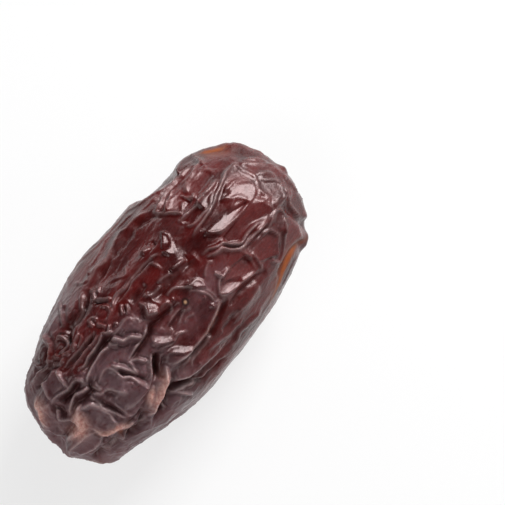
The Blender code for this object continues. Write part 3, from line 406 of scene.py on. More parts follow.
# Furrows, each (depth, reach, points...).
FURROWS = (
    (0.80, 0.36, -13, 3, -12.5, 3.2, -11.5, 3.3, -10, 3.4, -8.5, 3.4, -6.6, 3),
    (0.55, 0.32, -14.8, 5.1, -12.5, 5.1, -11, 5.1, -9.5, 5, -7.6, 5.1),
    (0.70, 0.40, -13.4, 7.1, -12, 6.95, -11, 7.15, -10.3, 7.7, -9.6, 8.1, -8.5, 8, -7.5, 7.95, -6.4, 8.1,
     -5.2, 8.6, -3.6, 9.2),
    (0.35, 0.50, -4.2, 9.2, -1, 9.4, 3, 9.6, 6.5, 9.5, 8.6, 8.9, 10.2, 7.8),
    (0.75, 0.40, -8.2, -1, -6, -0.95, -4.6, -0.9, -3.6, -0.8, -2.6, -0.3, -1.4, -0.6, 0.6, -0.9, 2.4, -1.2),
    (0.80, 0.45, -7.6, -5.5, -7, -4.9, -6.3, -4.2, -5.5, -3.5, -4.8, -2.9),
    (0.50, 0.35, -7.2, -5.2, -6.2, -5, -5.2, -4.5, -4.4, -4),
    (0.60, 0.30, -5.2, -6.35, -3.5, -6.75, -2, -7.1, 0, -7.2, 2, -7.15, 3.5, -6.85, 5.5, -6.3, 6.8, -6.1),
    (0.80, 0.38, -12.8, -8.3, -11, -8.35, -10, -8.2, -9.2, -7.9, -8, -7.7, -7, -7.6, -6, -8.3, -5, -9.2,
     -4, -9.9, -2, -10.2, 0.5, -10.5),
    (0.45, 0.75, 0.4, 1.6, 2.5, 1.3, 4.5, 1.1, 6.5, 0.9, 8.4, 0.6),
    (0.60, 0.30, -18.9, 0.5, -17.4, 1.2, -16.7, 1.2, -15.8, 0.8, -15, 0.7, -14.1, 0.6, -13.8, 1.4,
     -13, 1.7),
    (0.80, 0.45, -18, 2.7, -17, 2.9, -16.2, 2.7, -15.2, 2.6, -14.3, 2.5),
    (0.55, 0.38, -19.1, 3.4, -18.7, 2.6, -19, 1.9, -18.6, 1.3),
    (0.50, 0.35, -22.4, -0.5, -21, -0.3, -20, -0.3, -18.9, -0.3),
    (0.85, 0.38, -20.9, -4.7, -20, -5.2, -18.8, -5.5, -17.8, -5.9, -16.6, -6.2),
    (0.75, 0.38, -16.2, -6.4, -15, -6.9, -13.6, -7.1, -12.6, -6.9, -11.4, -6.9),
    (0.40, 0.30, -15.6, -5.5, -14.5, -6, -13.5, -6.2, -11.8, -6.2),
    (0.35, 0.30, -18.9, -4.9, -18.2, -5, -17.6, -5.2),
    (0.60, 0.30, -18.4, 6.7, -17.3, 6.7, -15.9, 6.8, -15.2, 6.95, -14.6, 6.6, -13.3, 6),
    (0.45, 0.30, -17.8, 7.6, -16.4, 7.55, -15.2, 7.45, -14.3, 7.8, -13.4, 8.3, -12.6, 9),
    (0.35, 0.28, -14.7, -0.2, -14.4, -2, -14.2, -3.6, -13.9, -4.9),
    (0.30, 0.26, -13.6, -0.9, -13, -1.2, -12.6, -1.6, -12.4, -2.3),
    (0.30, 0.26, -9.9, -0.4, -9.7, -1.4, -9.2, -2.2, -8.8, -3.2, -8.7, -4.6),
    (0.30, 0.26, -3.2, 5.4, -1.6, 5.6, -1, 5.4, 0, 5.5, 1.5, 5.7, 3, 5.55, 4.8, 5.1),
    (0.30, 0.28, -4.7, 7.7, -4, 7, -3.2, 6.3),
    (0.26, 0.35, -1.8, 3.9, 0, 3.8, 1.6, 3.7),
    (0.35, 0.35, -1.4, -2.6, 0.6, -2.5, 2.2, -2.4),
    (0.24, 0.30, 2.8, -8.2, 4, -8.4, 5.2, -8.2, 6.6, -8.3),
    (0.24, 0.30, 0.8, -9.2, 3, -9.7, 5, -9.4),
    (0.35, 0.40, 6, -7, 8, -6.95, 10, -7.2, 11.5, -7.5, 13, -7.7),
    (0.35, 0.25, 11.9, -1.2, 12.5, -1.9, 13, -2.7, 13.7, -3.3, 15, -3.35, 16.4, -3.4),
    (0.30, 0.30, 13.2, -3.9, 15, -4.15, 16.5, -4.3, 18.6, -4.5),
    (0.75, 0.32, 10.7, 8.8, 12, 9.1, 13.4, 9.3, 15, 9.25, 17.6, 8.9),
    (0.35, 0.40, 21.1, -4.4, 21.2, -5.5, 21, -7, 20.4, -8.8),
    (0.30, 0.30, 13.2, -9.6, 15.5, -9.1, 17.5, -8.8, 19.6, -8.9),
)

# Small round beads of dried juice, each (height, radius, place).
BEADS = (
    (0.32, 0.22, (-2.2, 10.3)),
    (0.35, 0.30, (-7.6, 10.25)),
    (0.32, 0.22, (-5.25, 3.5)),
    (0.26, 0.20, (4.9, -3.5)),
    (0.26, 0.20, (-10.2, -3.0)),
    (0.34, 0.30, (4.6, -5.0)),
    (0.24, 0.22, (2.1, -0.4)),
    (0.22, 0.20, (-2.5, -8.3)),
    (0.24, 0.22, (14.6, -7.5)),
)
SPECK_AT = (2.9, -1.95)
SPECK_RADIUS = 0.22
SPECK_RING = 1.9  # the dark ring round the speck, in its radii, and the ring's half width
SPECK_RING_WIDTH = 0.7

# A painted glow where light comes through the flesh and the skin looks amber, each (strength, half width,
# points...).
AMBER = (
    (1.20, 0.46, 19.2, 9, 20.2, 8.2, 21.1, 7.5, 21.9, 6.8, 23, 5.9),
    (0.30, 1.10, 18.6, 9, 20.2, 8, 21.6, 6.8, 23.4, 5.2),
    (1.30, 0.42, 8.6, -11.2, 10.4, -10.8, 12.4, -10.4, 14.2, -9.85, 15.6, -9.5, 17.2, -9.2, 18.8, -9.05,
     20.8, -9),
    (0.30, 0.80, 8.6, -10.9, 10.4, -10.5, 14, -9.7, 17, -8.9, 20.6, -8.4),
    (0.25, 0.24, -1, -6.6, 1.5, -6.65, 3, -6.4, 4.5, -6, 6.6, -5.3),
    (0.50, 0.50, -16.7, -5.5, -16.2, -5.8, -15.7, -6.3),
    (0.35, 0.90, -22.4, -4, -21.7, -5.2, -20.6, -6.3, -19.4, -7.2),
)

# The stem scar, a shallow crater, and the small knob that the flower left at the tip.
SCAR_RADIUS = 1.9
SCAR_DEPTH = 0.9
SCAR_RIM = 0.3
SCAR_RIM_OUT = 0.5
SCAR_RIM_WIDTH = 0.6
KNOB_AT = (25.0, -1.3)
KNOB_RADIUS = 0.7
KNOB_HEIGHT = 0.45

# The folds of the flanks and the underside, laid by the solid's own rule and seed, but lower than its folds.
HIDDEN_LINES = 64
HIDDEN_HALF_ANGLE = math.radians(88)
HIDDEN_SPAN = (math.radians(22), math.radians(70))
HIDDEN_ENDS = (math.radians(9), math.radians(168))
HIDDEN_HEIGHT = (0.24, 0.52)
HIDDEN_WIDTH = (0.50, 0.80)
HIDDEN_ROUNDING = 0.35
HIDDEN_DRIFT = math.radians(14)
HIDDEN_ROOM = 0.7  # the share of a line's span that is kept free before the tip or stem that it runs to
HIDDEN_SHIFT = (0.1, 0.9)  # where a line lies in its share of the turn round the body
FORK_CHANCE = 0.6
FORK_FROM = (0.2, 0.6)
FORK_TURN = (0.25, 0.5)
FORK_SPAN = 0.35
FORK_HEIGHT = 0.8
REST_CALM = (0.2, 2.4)  # the folds are gone below the first height above the rest and full above the second


# Folds laid on the smooth body


def pairs(numbers):
    """A row of numbers as the drawing's points."""
    return np.reshape(numbers, (-1, 2)).astype(float)


def eased(share):
    """A share from 0 to 1 that starts and ends gently."""
    return share * share * (3 - 2 * share)


def date_ball():
    """A ball made from an evenly cut cube, so that it has no poles."""
    ball = bmesh.new()
    bmesh.ops.create_cube(ball, size=2.0)
    lengthwise = [edge for edge in ball.edges if abs(edge.verts[0].co.x - edge.verts[1].co.x) > 1]
    bmesh.ops.subdivide_edges(ball, edges=lengthwise, cuts=SQUARES_ALONG - 1, use_grid_fill=True)
    around = [edge for edge in ball.edges if abs(edge.verts[0].co.x - edge.verts[1].co.x) < 1e-6]
    bmesh.ops.subdivide_edges(ball, edges=around, cuts=SQUARES_ACROSS - 1, use_grid_fill=True)
    for vert in ball.verts:
        vert.co = Vector([math.tan(c * math.pi / 4) for c in vert.co]).normalized()
        vert.co = (vert.co + SIGHT * CROWDING).normalized()
    return ball


def body_points(directions):
    """The smooth body's points for unit directions, about the body's own middle."""
    x, y, z = directions.T
    around = np.hypot(y, z)
    bluntness = STEM_BLUNTNESS + (TIP_BLUNTNESS - STEM_BLUNTNESS) * (1 + x) / 2
    size = (np.abs(x) ** bluntness + around**bluntness) ** (-1 / bluntness)
    farness = 0.5 + 0.5 * y / np.maximum(around, 1e-9)
    half_width = NEAR_HALF_WIDTH + (FAR_HALF_WIDTH - NEAR_HALF_WIDTH) * farness
    gain = size * (1 + TIP_GAIN * x)
    across = half_width * gain * y
    lean = np.where(x > 0, TIP_SKEW, STEM_SKEW) * x**2
    return np.stack((HALF_LENGTH * size * x + lean * across, across, HALF_HEIGHT * gain * z), axis=1)


def curve_through(before, start, end, after, t):
    """A smooth curve from start to end, t going from 0 to 1, that heads the way its neighbours lie."""
    return 0.5 * (
        2 * start
        + (end - before) * t
        + (2 * before - 5 * start + 4 * end - after) * t**2
        + (3 * start - before - 3 * end + after) * t**3
    )


def smooth_line(points):
    """Points LINE_STEP apart or closer on a smooth curve through the given ones."""
    given = [2 * points[0] - points[1], *points, 2 * points[-1] - points[-2]]
    line = []
    for before, start, end, after in zip(given, given[1:], given[2:], given[3:]):
        count = max(2, int(np.linalg.norm(end - start) / LINE_STEP))
        line += [curve_through(before, start, end, after, step / count) for step in range(count)]
    line.append(given[-2])
    return np.array(line)


def sight_axes():
    """The drawing's two directions: along the date, and across it towards the far side."""
    along = Vector((1, 0, 0))
    along = (along - SIGHT * along.dot(SIGHT)).normalized()
    return along, SIGHT.cross(along)


def dropped(tree, points, wander=0.0, lift=0.0):
    """The line on the body under a line of the drawing. A point beyond the outline is drawn in to it.

    The fold is drawn where its top shows once it stands lift above the body, so its foot lies further in.
    """
    along, across = sight_axes()
    eye = SIGHT * SIGHT_DISTANCE
    line = []
    beyond = False
    for s, t in smooth_line(points):
        stray = noise.noise_vector(Vector((s * WANDER_PER_MM, t * WANDER_PER_MM, WANDER_SLICE))) * wander
        drawn = along * (s + stray.x - DRAWING_MIDDLE[0]) + across * (t + stray.y - DRAWING_MIDDLE[1])
        place = drawn
        for _ in range(FOOT_ROUNDS):
            hit = None
            while hit is None:
                hit, normal = tree.ray_cast(eye, (place - eye).normalized())[:2]
                if hit is None:
                    place = place * DRAW_IN
                    beyond = True
            place = drawn - (normal - SIGHT * normal.dot(SIGHT)) * lift
        line.append(hit)
    line = np.array(line)
    for _ in range(OUTLINE_ROUNDS if beyond else 0):
        line[1:-1] = (line[:-2] + 2 * line[1:-1] + line[2:]) / 4
    return line


def dropped_point(tree, place):
    """The point on the body under one place of the drawing."""
    return dropped(tree, pairs((*place, *place)))[0]


def wound(start, span, angle, drift, bow):
    """A line along the body from the polar angle start, turning round it by drift and bowing by bow."""
    steps = np.linspace(0, 1, max(4, int(span * HALF_LENGTH / LINE_STEP)))
    polar = np.clip(start + steps * span, *HIDDEN_ENDS)
    around = angle + drift * steps + bow * np.sin(math.pi * steps)
    reach = np.sin(polar)
    return body_points(np.stack((np.cos(polar), reach * np.cos(around), reach * np.sin(around)), axis=1))


def hidden_folds():
    """Crests and furrows of the sides that the drawing doesn't reach, drawn with a fixed seed."""
    draw = np.random.default_rng(SEED)
    facing = math.atan2(SIGHT.z, SIGHT.y)
    crests, furrows = [], []
    for number in range(HIDDEN_LINES):
        share = (number + draw.uniform(*HIDDEN_SHIFT)) / HIDDEN_LINES
        angle = facing + math.pi + HIDDEN_HALF_ANGLE * (2 * share - 1)
        span = draw.uniform(*HIDDEN_SPAN)
        start = draw.uniform(HIDDEN_ENDS[0], HIDDEN_ENDS[1] - HIDDEN_ROOM * span)
        drift = draw.uniform(-HIDDEN_DRIFT, HIDDEN_DRIFT)
        bow = draw.uniform(-HIDDEN_DRIFT, HIDDEN_DRIFT)
        height = draw.uniform(*HIDDEN_HEIGHT)
        width = draw.uniform(*HIDDEN_WIDTH)
        kind = furrows if number % 2 else crests
        kind.append((height, width, wound(start, span, angle, drift, bow)))
        if draw.uniform() < FORK_CHANCE:
            along = draw.uniform(*FORK_FROM)
            turn = draw.choice((-1, 1)) * draw.uniform(*FORK_TURN)
            fork = wound(start + span * along, FORK_SPAN * span, angle + drift * along, turn, 0.0)
            crests.append((FORK_HEIGHT * height, width, fork))
    return crests, furrows


def near_line(points, line, reach):
    """The points within reach of a line: which they are, how far from it, and how far along it, 0 to 1."""
    near = np.nonzero(((points > line.min(0) - reach) & (points < line.max(0) + reach)).all(1))[0]
    spots = points[near]
    gap = np.full(len(near), np.inf)
    share = np.zeros(len(near))
    count = len(line) - 1
    for index, (start, end) in enumerate(zip(line, line[1:])):
        run = end - start
        t = np.clip((spots - start) @ run / max(run @ run, 1e-12), 0, 1)
        here = np.linalg.norm(spots - start - t[:, None] * run, axis=1)
        nearer = here < gap
        gap[nearer] = here[nearer]
        share[nearer] = (index + t[nearer]) / count
    return near, gap, share


def end_fade(share):
    fade = np.clip(np.minimum(share, 1 - share) / LINE_FADE, 0, 1)
    return fade * (2 - fade)


def soft_end_fade(share):
    return eased(np.clip(np.minimum(share, 1 - share) / SWELL_FADE, 0, 1))


def swing_along(line, share):
    """How a fold's height comes and goes along it."""
    steps = np.linspace(0, 1, len(line))
    swing = [1 + LINE_SWING * noise.noise(Vector(spot) * SWING_PER_MM) for spot in line]
    return np.interp(share, steps, swing)


def folds_on(points, folds, rounding):
    """The folds' height at each point, how near it is to the top of one, from 0 to 1, and the valleys' depth.

    The valleys run along both sides of a fold.
    """
    total = np.zeros(len(points))
    on_line = np.zeros(len(points))
    valley = np.zeros(len(points))
    for size, reach, line in folds:
        near, gap, share = near_line(points, line, FOLD_SPREAD * reach)
        strength = end_fade(share) * swing_along(line, share)
        shape = np.exp(-(np.hypot(gap, rounding) - rounding) / reach)
        total[near] += (size * strength * shape) ** CREST_BLEND
        here = np.clip(TOP_GAIN * size, 0, 1) * strength * np.exp(-((gap / TOP_WIDTH) ** 2))
        on_line[near] = np.maximum(on_line[near], here)
        beside = VALLEY_SHARE * size * strength * np.exp(-(((gap / reach - VALLEY_AT) / VALLEY_WIDTH) ** 2))
        valley[near] = np.maximum(valley[near], beside)
    return total ** (1 / CREST_BLEND), on_line, valley


def stripes_on(points, stripes):
    """The strongest of several soft stripes at each point, each (strength, half width, line)."""
    strongest = np.zeros(len(points))
    for strength, width, line in stripes:
        near, gap, share = near_line(points, line, SWELL_SPREAD * width)
        shape = strength * np.exp(-((gap / width) ** 2)) * soft_end_fade(share)
        strongest[near] = np.maximum(strongest[near], shape)
    return strongest


def swells_on(points, tree):
    height = np.zeros(len(points))
    for rise, width, *drawn in SWELLS:
        near, gap, share = near_line(points, dropped(tree, pairs(drawn)), SWELL_SPREAD * width)
        height[near] += rise * np.exp(-((gap / width) ** SWELL_POWER)) * soft_end_fade(share)
    return height


def drawn_places(points):
    """Where points show on the flat drawing."""
    along, across, sight = (np.array(way) for way in (*sight_axes(), SIGHT))
    eye = sight * SIGHT_DISTANCE
    shown = eye + (points - eye) * (SIGHT_DISTANCE / (SIGHT_DISTANCE - points @ sight))[:, None]
    return np.stack((shown @ along, shown @ across), axis=1) + DRAWING_MIDDLE


def depth_inside(places, corners):
    """How far each place of the drawing lies inside the corners, below zero outside them."""
    gap = np.full(len(places), np.inf)
    inside = np.zeros(len(places), bool)
    for start, end in zip(corners, np.roll(corners, -1, axis=0)):
        run = end - start
        t = np.clip((places - start) @ run / (run @ run), 0, 1)
        gap = np.minimum(gap, np.linalg.norm(places - start - t[:, None] * run, axis=1))
        level = (places[:, 1] - start[1]) / (run[1] or 1e-9)
        inside ^= (level >= 0) & (level < 1) & (places[:, 0] < start[0] + level * run[0])
    return np.where(inside, gap, -gap)


def plates_on(points, normals, tree):
    """How far the flat plates stand above the smooth body, and how much each point belongs to one.

    Where two plates lie side by side their planes are joined, so the joint stands as a ridge.
    """
    along, across, sight = (np.array(way) for way in (*sight_axes(), SIGHT))
    places = drawn_places(points + FULLNESS * normals)
    seen = normals @ sight > 0
    total = np.zeros(len(points))
    cover = np.zeros(len(points))
    for rise, lean_along, lean_across, *corners in PLATES:
        corners = pairs(corners)
        slopes = [math.tan(math.radians(lean)) for lean in (lean_along, lean_across)]
        facing = sight + along * slopes[0] + across * slopes[1]
        facing /= np.linalg.norm(facing)
        middle = dropped_point(tree, corners.mean(0)) + rise * facing
        about = (places > corners.min(0) - PLATE_MARGIN) & (places < corners.max(0) + PLATE_MARGIN)
        near = np.nonzero(seen & about.all(1))[0]
        share = np.clip((depth_inside(places[near], corners) + PLATE_MARGIN) / (2 * PLATE_MARGIN), 0, 1)
        share = eased(share) * np.clip(normals[near] @ sight / PLATE_FACING, 0, 1)
        flat = (middle - points[near]) @ facing / np.maximum(normals[near] @ facing, PLATE_LEAST_SLANT)
        total[near] += share * np.clip(flat, *PLATE_LIMITS)
        cover[near] += share
    filled = np.clip(PLATE_JOIN * cover, 0, 1)
    return filled * total / np.maximum(cover, 1e-6), filled


def bumps_on(points, tree):
    """The stem scar with its rim, the knob at the tip, and the beads."""
    gap = np.linalg.norm(points - (-HALF_LENGTH, 0.0, 0.0), axis=1)
    height = -SCAR_DEPTH * np.exp(-((gap / SCAR_RADIUS) ** 4))
    height += SCAR_RIM * np.exp(-(((gap - SCAR_RADIUS - SCAR_RIM_OUT) / SCAR_RIM_WIDTH) ** 2))
    for rise, radius, place in (*BEADS, (KNOB_HEIGHT, KNOB_RADIUS, KNOB_AT)):
        gap = np.linalg.norm(points - dropped_point(tree, place), axis=1)
        height += rise * np.exp(-((gap / radius) ** 2))
    return height


def uneven(points, hiddenness):
    """The height of the soft waves and of the cells' edges, which are drawn out along the date."""
    height = []
    for point, hidden in zip(points, hiddenness):
        spot = Vector([p / size for p, size in zip(point, WAVE_SIZES)])
        nearest, second = noise.voronoi(spot * CELLS_PER_WAVE + CELL_BEND * noise.noise_vector(spot))[0][:2]
        rise = CELL_HEIGHTS[0] + (CELL_HEIGHTS[1] - CELL_HEIGHTS[0]) * hidden
        height.append(WAVE_HEIGHT * noise.noise(spot) + rise * math.exp(-(second - nearest) / CELL_EDGE))
    return np.array(height)


def towards_stem(points, run):
    """From 0 where the stem third starts to 1 a run further on."""
    return np.clip((-points[:, 0] - STEM_START) / run, 0, 1)


def bloom_and_sheen_map(points):
    """Where the skin keeps its grey bloom of wax, partly a painted sheen: the stem third, but for a red band
    along its far side.

    A faint haze of it, a painted sheen, lies along the near side of the middle too.
    """
    x, y = points[:, 0], points[:, 1]
    red_band = np.exp(-(((y - RED_BAND_MIDDLE) / RED_BAND_HALF_WIDTH) ** 4))
    red_band *= np.clip((x - RED_BAND_START) / RED_BAND_FADE, 0, 1)
    along, across = (points[:, :2] - HAZE_MIDDLE).T / np.reshape(HAZE_SPREAD, (2, 1))
    haze = HAZE * np.exp(-(along**4) - across**4)
    return np.maximum(towards_stem(points, BLOOM_AND_SHEEN_RUN) * (1 - red_band), haze)


def fold_map(points, normals, tree):
    """What each point of the skin gets from the folds near it, by name. The heights are in millimetres."""

    def laid(folds, wander, rises=1.0):
        return [
            (size, reach, dropped(tree, pairs(drawn), wander, FULLNESS + rises * size))
            for size, reach, *drawn in folds
        ]

    def thinned(size, reach, line):
        return (THIN_HEIGHT * size, THIN_REACH * reach, line) if reach < THIN_BELOW else (size, reach, line)

    hidden_crests, hidden_furrows = hidden_folds()
    hiddenness = np.clip(HIDDEN_FROM - HIDDEN_SLOPE * normals @ np.array(SIGHT), 0, 1)
    tan_crests = laid(TAN_CRESTS, LINE_WANDER)
    stem_share = towards_stem(points, STEM_RUN)
    # Seen edge on, at the outline, the drawn folds are low.
    least = FACING_LEAST + (FACING_STEM - FACING_LEAST) * stem_share
    turned_to_sight = np.clip(normals @ np.array(SIGHT) / FACING_FULL, least, 1)
    crests = [thinned(*crest) for crest in laid(CRESTS, LINE_WANDER)] + tan_crests
    crest, crest_top, valley = folds_on(points, crests, CREST_ROUNDING)
    crest *= turned_to_sight
    turned_away = np.clip((-normals @ np.array(SIGHT) - TURNED_START) / TURNED_FULL, 0, 1)
    hidden_crest, hidden_top = folds_on(points, hidden_crests, HIDDEN_ROUNDING)[:2]
    # The hidden crests get lower towards both ends, where they run together.
    hidden_crest *= np.clip(np.hypot(points[:, 1], points[:, 2]) / HALF_HEIGHT, 0, 1) ** 2
    crest = np.maximum(crest, turned_away * hidden_crest)
    crest_top = np.maximum(crest_top, turned_away * hidden_top)
    furrow = folds_on(points, laid(FURROWS, LINE_WANDER, -FURROW_SINK), FURROW_ROUNDING)[0]
    hidden_furrow = folds_on(points, hidden_furrows, HIDDEN_ROUNDING)[0]
    furrow = np.maximum(furrow, turned_away * hidden_furrow)
    plates, on_plate = plates_on(points, normals, tree)
    # Folds are strongest in the stem third.
    crest *= 1 + STEM_GAIN * stem_share
    beside = VALLEY_LEAST + (1 - VALLEY_LEAST) * stem_share
    furrow = furrow + valley * turned_to_sight * beside * (1 - PLATE_CALM * on_plate)
    height_above_rest = points[:, 2] + HALF_HEIGHT - REST_DEPTH
    calm = np.clip((height_above_rest - REST_CALM[0]) / (REST_CALM[1] - REST_CALM[0]), 0, 1)
    speck_gap = np.linalg.norm(points - dropped_point(tree, SPECK_AT), axis=1) / SPECK_RADIUS
    return {
        "swell": swells_on(points, tree) + plates + (1 - PLATE_CALM * on_plate) * uneven(points, hiddenness),
        "plate": on_plate,
        "crest": crest,
        "furrow": furrow,
        "bumps": bumps_on(points, tree),
        "calm": calm,
        # the pale line on each crest top, partly dry skin and partly a painted highlight
        "crest_top": crest_top * calm,
        # painted shade on the furrows' floors, darker where they are deeper
        "furrow_painted_shade": np.clip(FURROW_SHADE_GAIN * furrow, 0, 1) * calm,
        "tan_skin": stripes_on(points, [(1.0, reach, line) for _, reach, line in tan_crests]),
        # a painted glow of light coming through the thin skin
        "amber_glow": stripes_on(points, laid(AMBER, 0.0, 0.0)),
        "speck": np.exp(-(speck_gap**4)),
        "speck_ring": np.exp(-(((speck_gap - SPECK_RING) / SPECK_RING_WIDTH) ** 2)),
    }


# Node trees


def add_node(tree, kind, inputs=None, **settings):
    """A node with its settings. An input is a socket to link from, or a value."""
    node = tree.nodes.new(kind)
    for name, value in settings.items():
        setattr(node, name, value)
    for name, value in (inputs or {}).items():
        if isinstance(value, bpy.types.NodeSocket):
            tree.links.new(value, node.inputs[name])
        else:
            node.inputs[name].default_value = value
    return node


def add_range(tree, value, before, after, course):
    """A value moved from one range to another, on a LINEAR or SMOOTHSTEP course."""
    ends = dict(zip(("From Min", "From Max", "To Min", "To Max"), (*before, *after)))
    node = add_node(tree, "ShaderNodeMapRange", {"Value": value, **ends}, interpolation_type=course)
    return node.outputs[0]


def add_noise(tree, at, scale, detail, **more):
    """The outputs of a soft cloudy pattern."""
    inputs = {"Vector": at, "Scale": scale, "Detail": detail, **more}
    return add_node(tree, "ShaderNodeTexNoise", inputs).outputs


def add_object(name, data):
    made = bpy.data.objects.new(name, data)
    bpy.context.scene.collection.objects.link(made)
    return made


# Sizes of the skin tree, with the name of each input.
SKIN_SIZES = {
    "Fullness mm": FULLNESS,
    "Crest Height": 1.15,
    "Furrow Depth": 1.45,
    "Crease Length mm": 3.4,
    "Crease Width mm": 1.7,
    "Crease Height mm": 0.14,
    "Crease Sharpness": 0.075,
    "Fine Crease Share": 0.5,
    "Rest Height mm": 0.0,
    "Seed": 4.0,
}
BEND_SCALE = 0.9  # the creases wander by this pattern, and this far
BEND = 1.1
FINE_SCALE = 2.3  # how much closer the fine creases lie
PATCH_SCALE = 0.22  # the patches of skin that have fine creases
PATCH_RANGE = (0.38, 0.62)


def skin_tree():
    """Raises the folds and the small creases from the smooth body, and presses the underside flat."""
    tree = bpy.data.node_groups.new("date_skin_folds", "GeometryNodeTree")
    for way in ("INPUT", "OUTPUT"):
        tree.interface.new_socket("Geometry", in_out=way, socket_type="NodeSocketGeometry")
    for name, value in SKIN_SIZES.items():
        socket = tree.interface.new_socket(name, in_out="INPUT", socket_type="NodeSocketFloat")
        socket.default_value = value
    tree.interface.new_socket("Skin", in_out="INPUT", socket_type="NodeSocketMaterial")
    given = add_node(tree, "NodeGroupInput").outputs

    def math_of(operation, *values):
        return add_node(tree, "ShaderNodeMath", dict(enumerate(values)), operation=operation).outputs[0]

    def stored(name):
        return add_node(tree, "GeometryNodeInputNamedAttribute", {"Name": name}, data_type="FLOAT").outputs[0]

    def vector_math(operation, first, second):
        other = "Scale" if operation == "SCALE" else 1
        node = add_node(tree, "ShaderNodeVectorMath", {0: first, other: second}, operation=operation)
        return node.outputs[0]

    def vector(x, y=0.0, z=0.0):
        return add_node(tree, "ShaderNodeCombineXYZ", {"X": x, "Y": y, "Z": z}).outputs[0]

    position = add_node(tree, "GeometryNodeInputPosition").outputs[0]
    in_mm = vector_math("SCALE", position, 1 / MM)
    crease_size = vector(given["Crease Length mm"], given["Crease Width mm"], given["Crease Width mm"])
    spot = vector_math("ADD", vector_math("DIVIDE", in_mm, crease_size), vector(given["Seed"]))
    bend = vector_math("SCALE", add_noise(tree, spot, BEND_SCALE, 2.0)["Color"], BEND)
    spot = vector_math("ADD", spot, bend)

    def crease_at(scale):
        edge = add_node(
            tree, "ShaderNodeTexVoronoi", {"Vector": spot, "Scale": scale}, feature="DISTANCE_TO_EDGE"
        ).outputs["Distance"]
        steep = math_of("DIVIDE", edge, given["Crease Sharpness"])
        return math_of("EXPONENT", math_of("MULTIPLY", steep, -1.0))

    patches = add_noise(tree, in_mm, PATCH_SCALE, 1.0)[0]
    patches = add_range(tree, patches, PATCH_RANGE, (0.0, 1.0), "LINEAR")
    fine = math_of("MULTIPLY", crease_at(FINE_SCALE), given["Fine Crease Share"])
    crease = math_of("ADD", crease_at(1.0), math_of("MULTIPLY", fine, patches))
    crease = math_of("MULTIPLY", crease, stored("crease_share"))

    rise = math_of("MULTIPLY", stored("crest"), given["Crest Height"])
    rise = math_of("SUBTRACT", rise, math_of("MULTIPLY", stored("furrow"), given["Furrow Depth"]))
    rise = math_of("ADD", rise, math_of("ADD", stored("swell"), given["Fullness mm"]))
    rise = math_of("ADD", rise, math_of("MULTIPLY", crease, given["Crease Height mm"]))
    rise = math_of("MULTIPLY", rise, stored("calm"))
    rise = math_of("MULTIPLY", math_of("ADD", rise, stored("bumps")), MM)

    normal = add_node(tree, "GeometryNodeInputNormal").outputs[0]
    offset = vector_math("SCALE", normal, rise)
    kept = add_node(
        tree,
        "GeometryNodeStoreNamedAttribute",
        {"Geometry": given["Geometry"], "Name": "crease", "Value": crease},
        data_type="FLOAT",
        domain="POINT",
    )
    raised = add_node(tree, "GeometryNodeSetPosition", {"Geometry": kept.outputs[0], "Offset": offset})
    apart = add_node(tree, "ShaderNodeSeparateXYZ", {0: position})
    floor = math_of("MULTIPLY", given["Rest Height mm"], MM)
    pressed = vector(apart.outputs["X"], apart.outputs["Y"], math_of("MAXIMUM", apart.outputs["Z"], floor))
    rested = add_node(tree, "GeometryNodeSetPosition", {"Geometry": raised.outputs[0], "Position": pressed})
    real = add_node(tree, "GeometryNodeRealizeInstances", {"Geometry": rested.outputs[0]})
    skinned = add_node(
        tree, "GeometryNodeSetMaterial", {"Geometry": real.outputs[0], "Material": given["Skin"]}
    )
    add_node(tree, "NodeGroupOutput", {"Geometry": skinned.outputs[0]})
    return tree


def linear(hex_colour, alpha=1.0):
    """An sRGB hex colour as the linear numbers that a shader takes."""
    parts = [int(hex_colour[at : at + 2], 16) / 255 for at in (1, 3, 5)]
    return (*[p / 12.92 if p <= 0.04045 else ((p + 0.055) / 1.055) ** 2.4 for p in parts], alpha)


def shaded_material(name, values):
    """A material, and its shader with constant values on the named sockets."""
    material = bpy.data.materials.new(name)
    material.use_nodes = True
    shader = material.node_tree.nodes["Principled BSDF"]
    for socket, value in values.items():
        shader.inputs[socket].default_value = value
    return material, shader


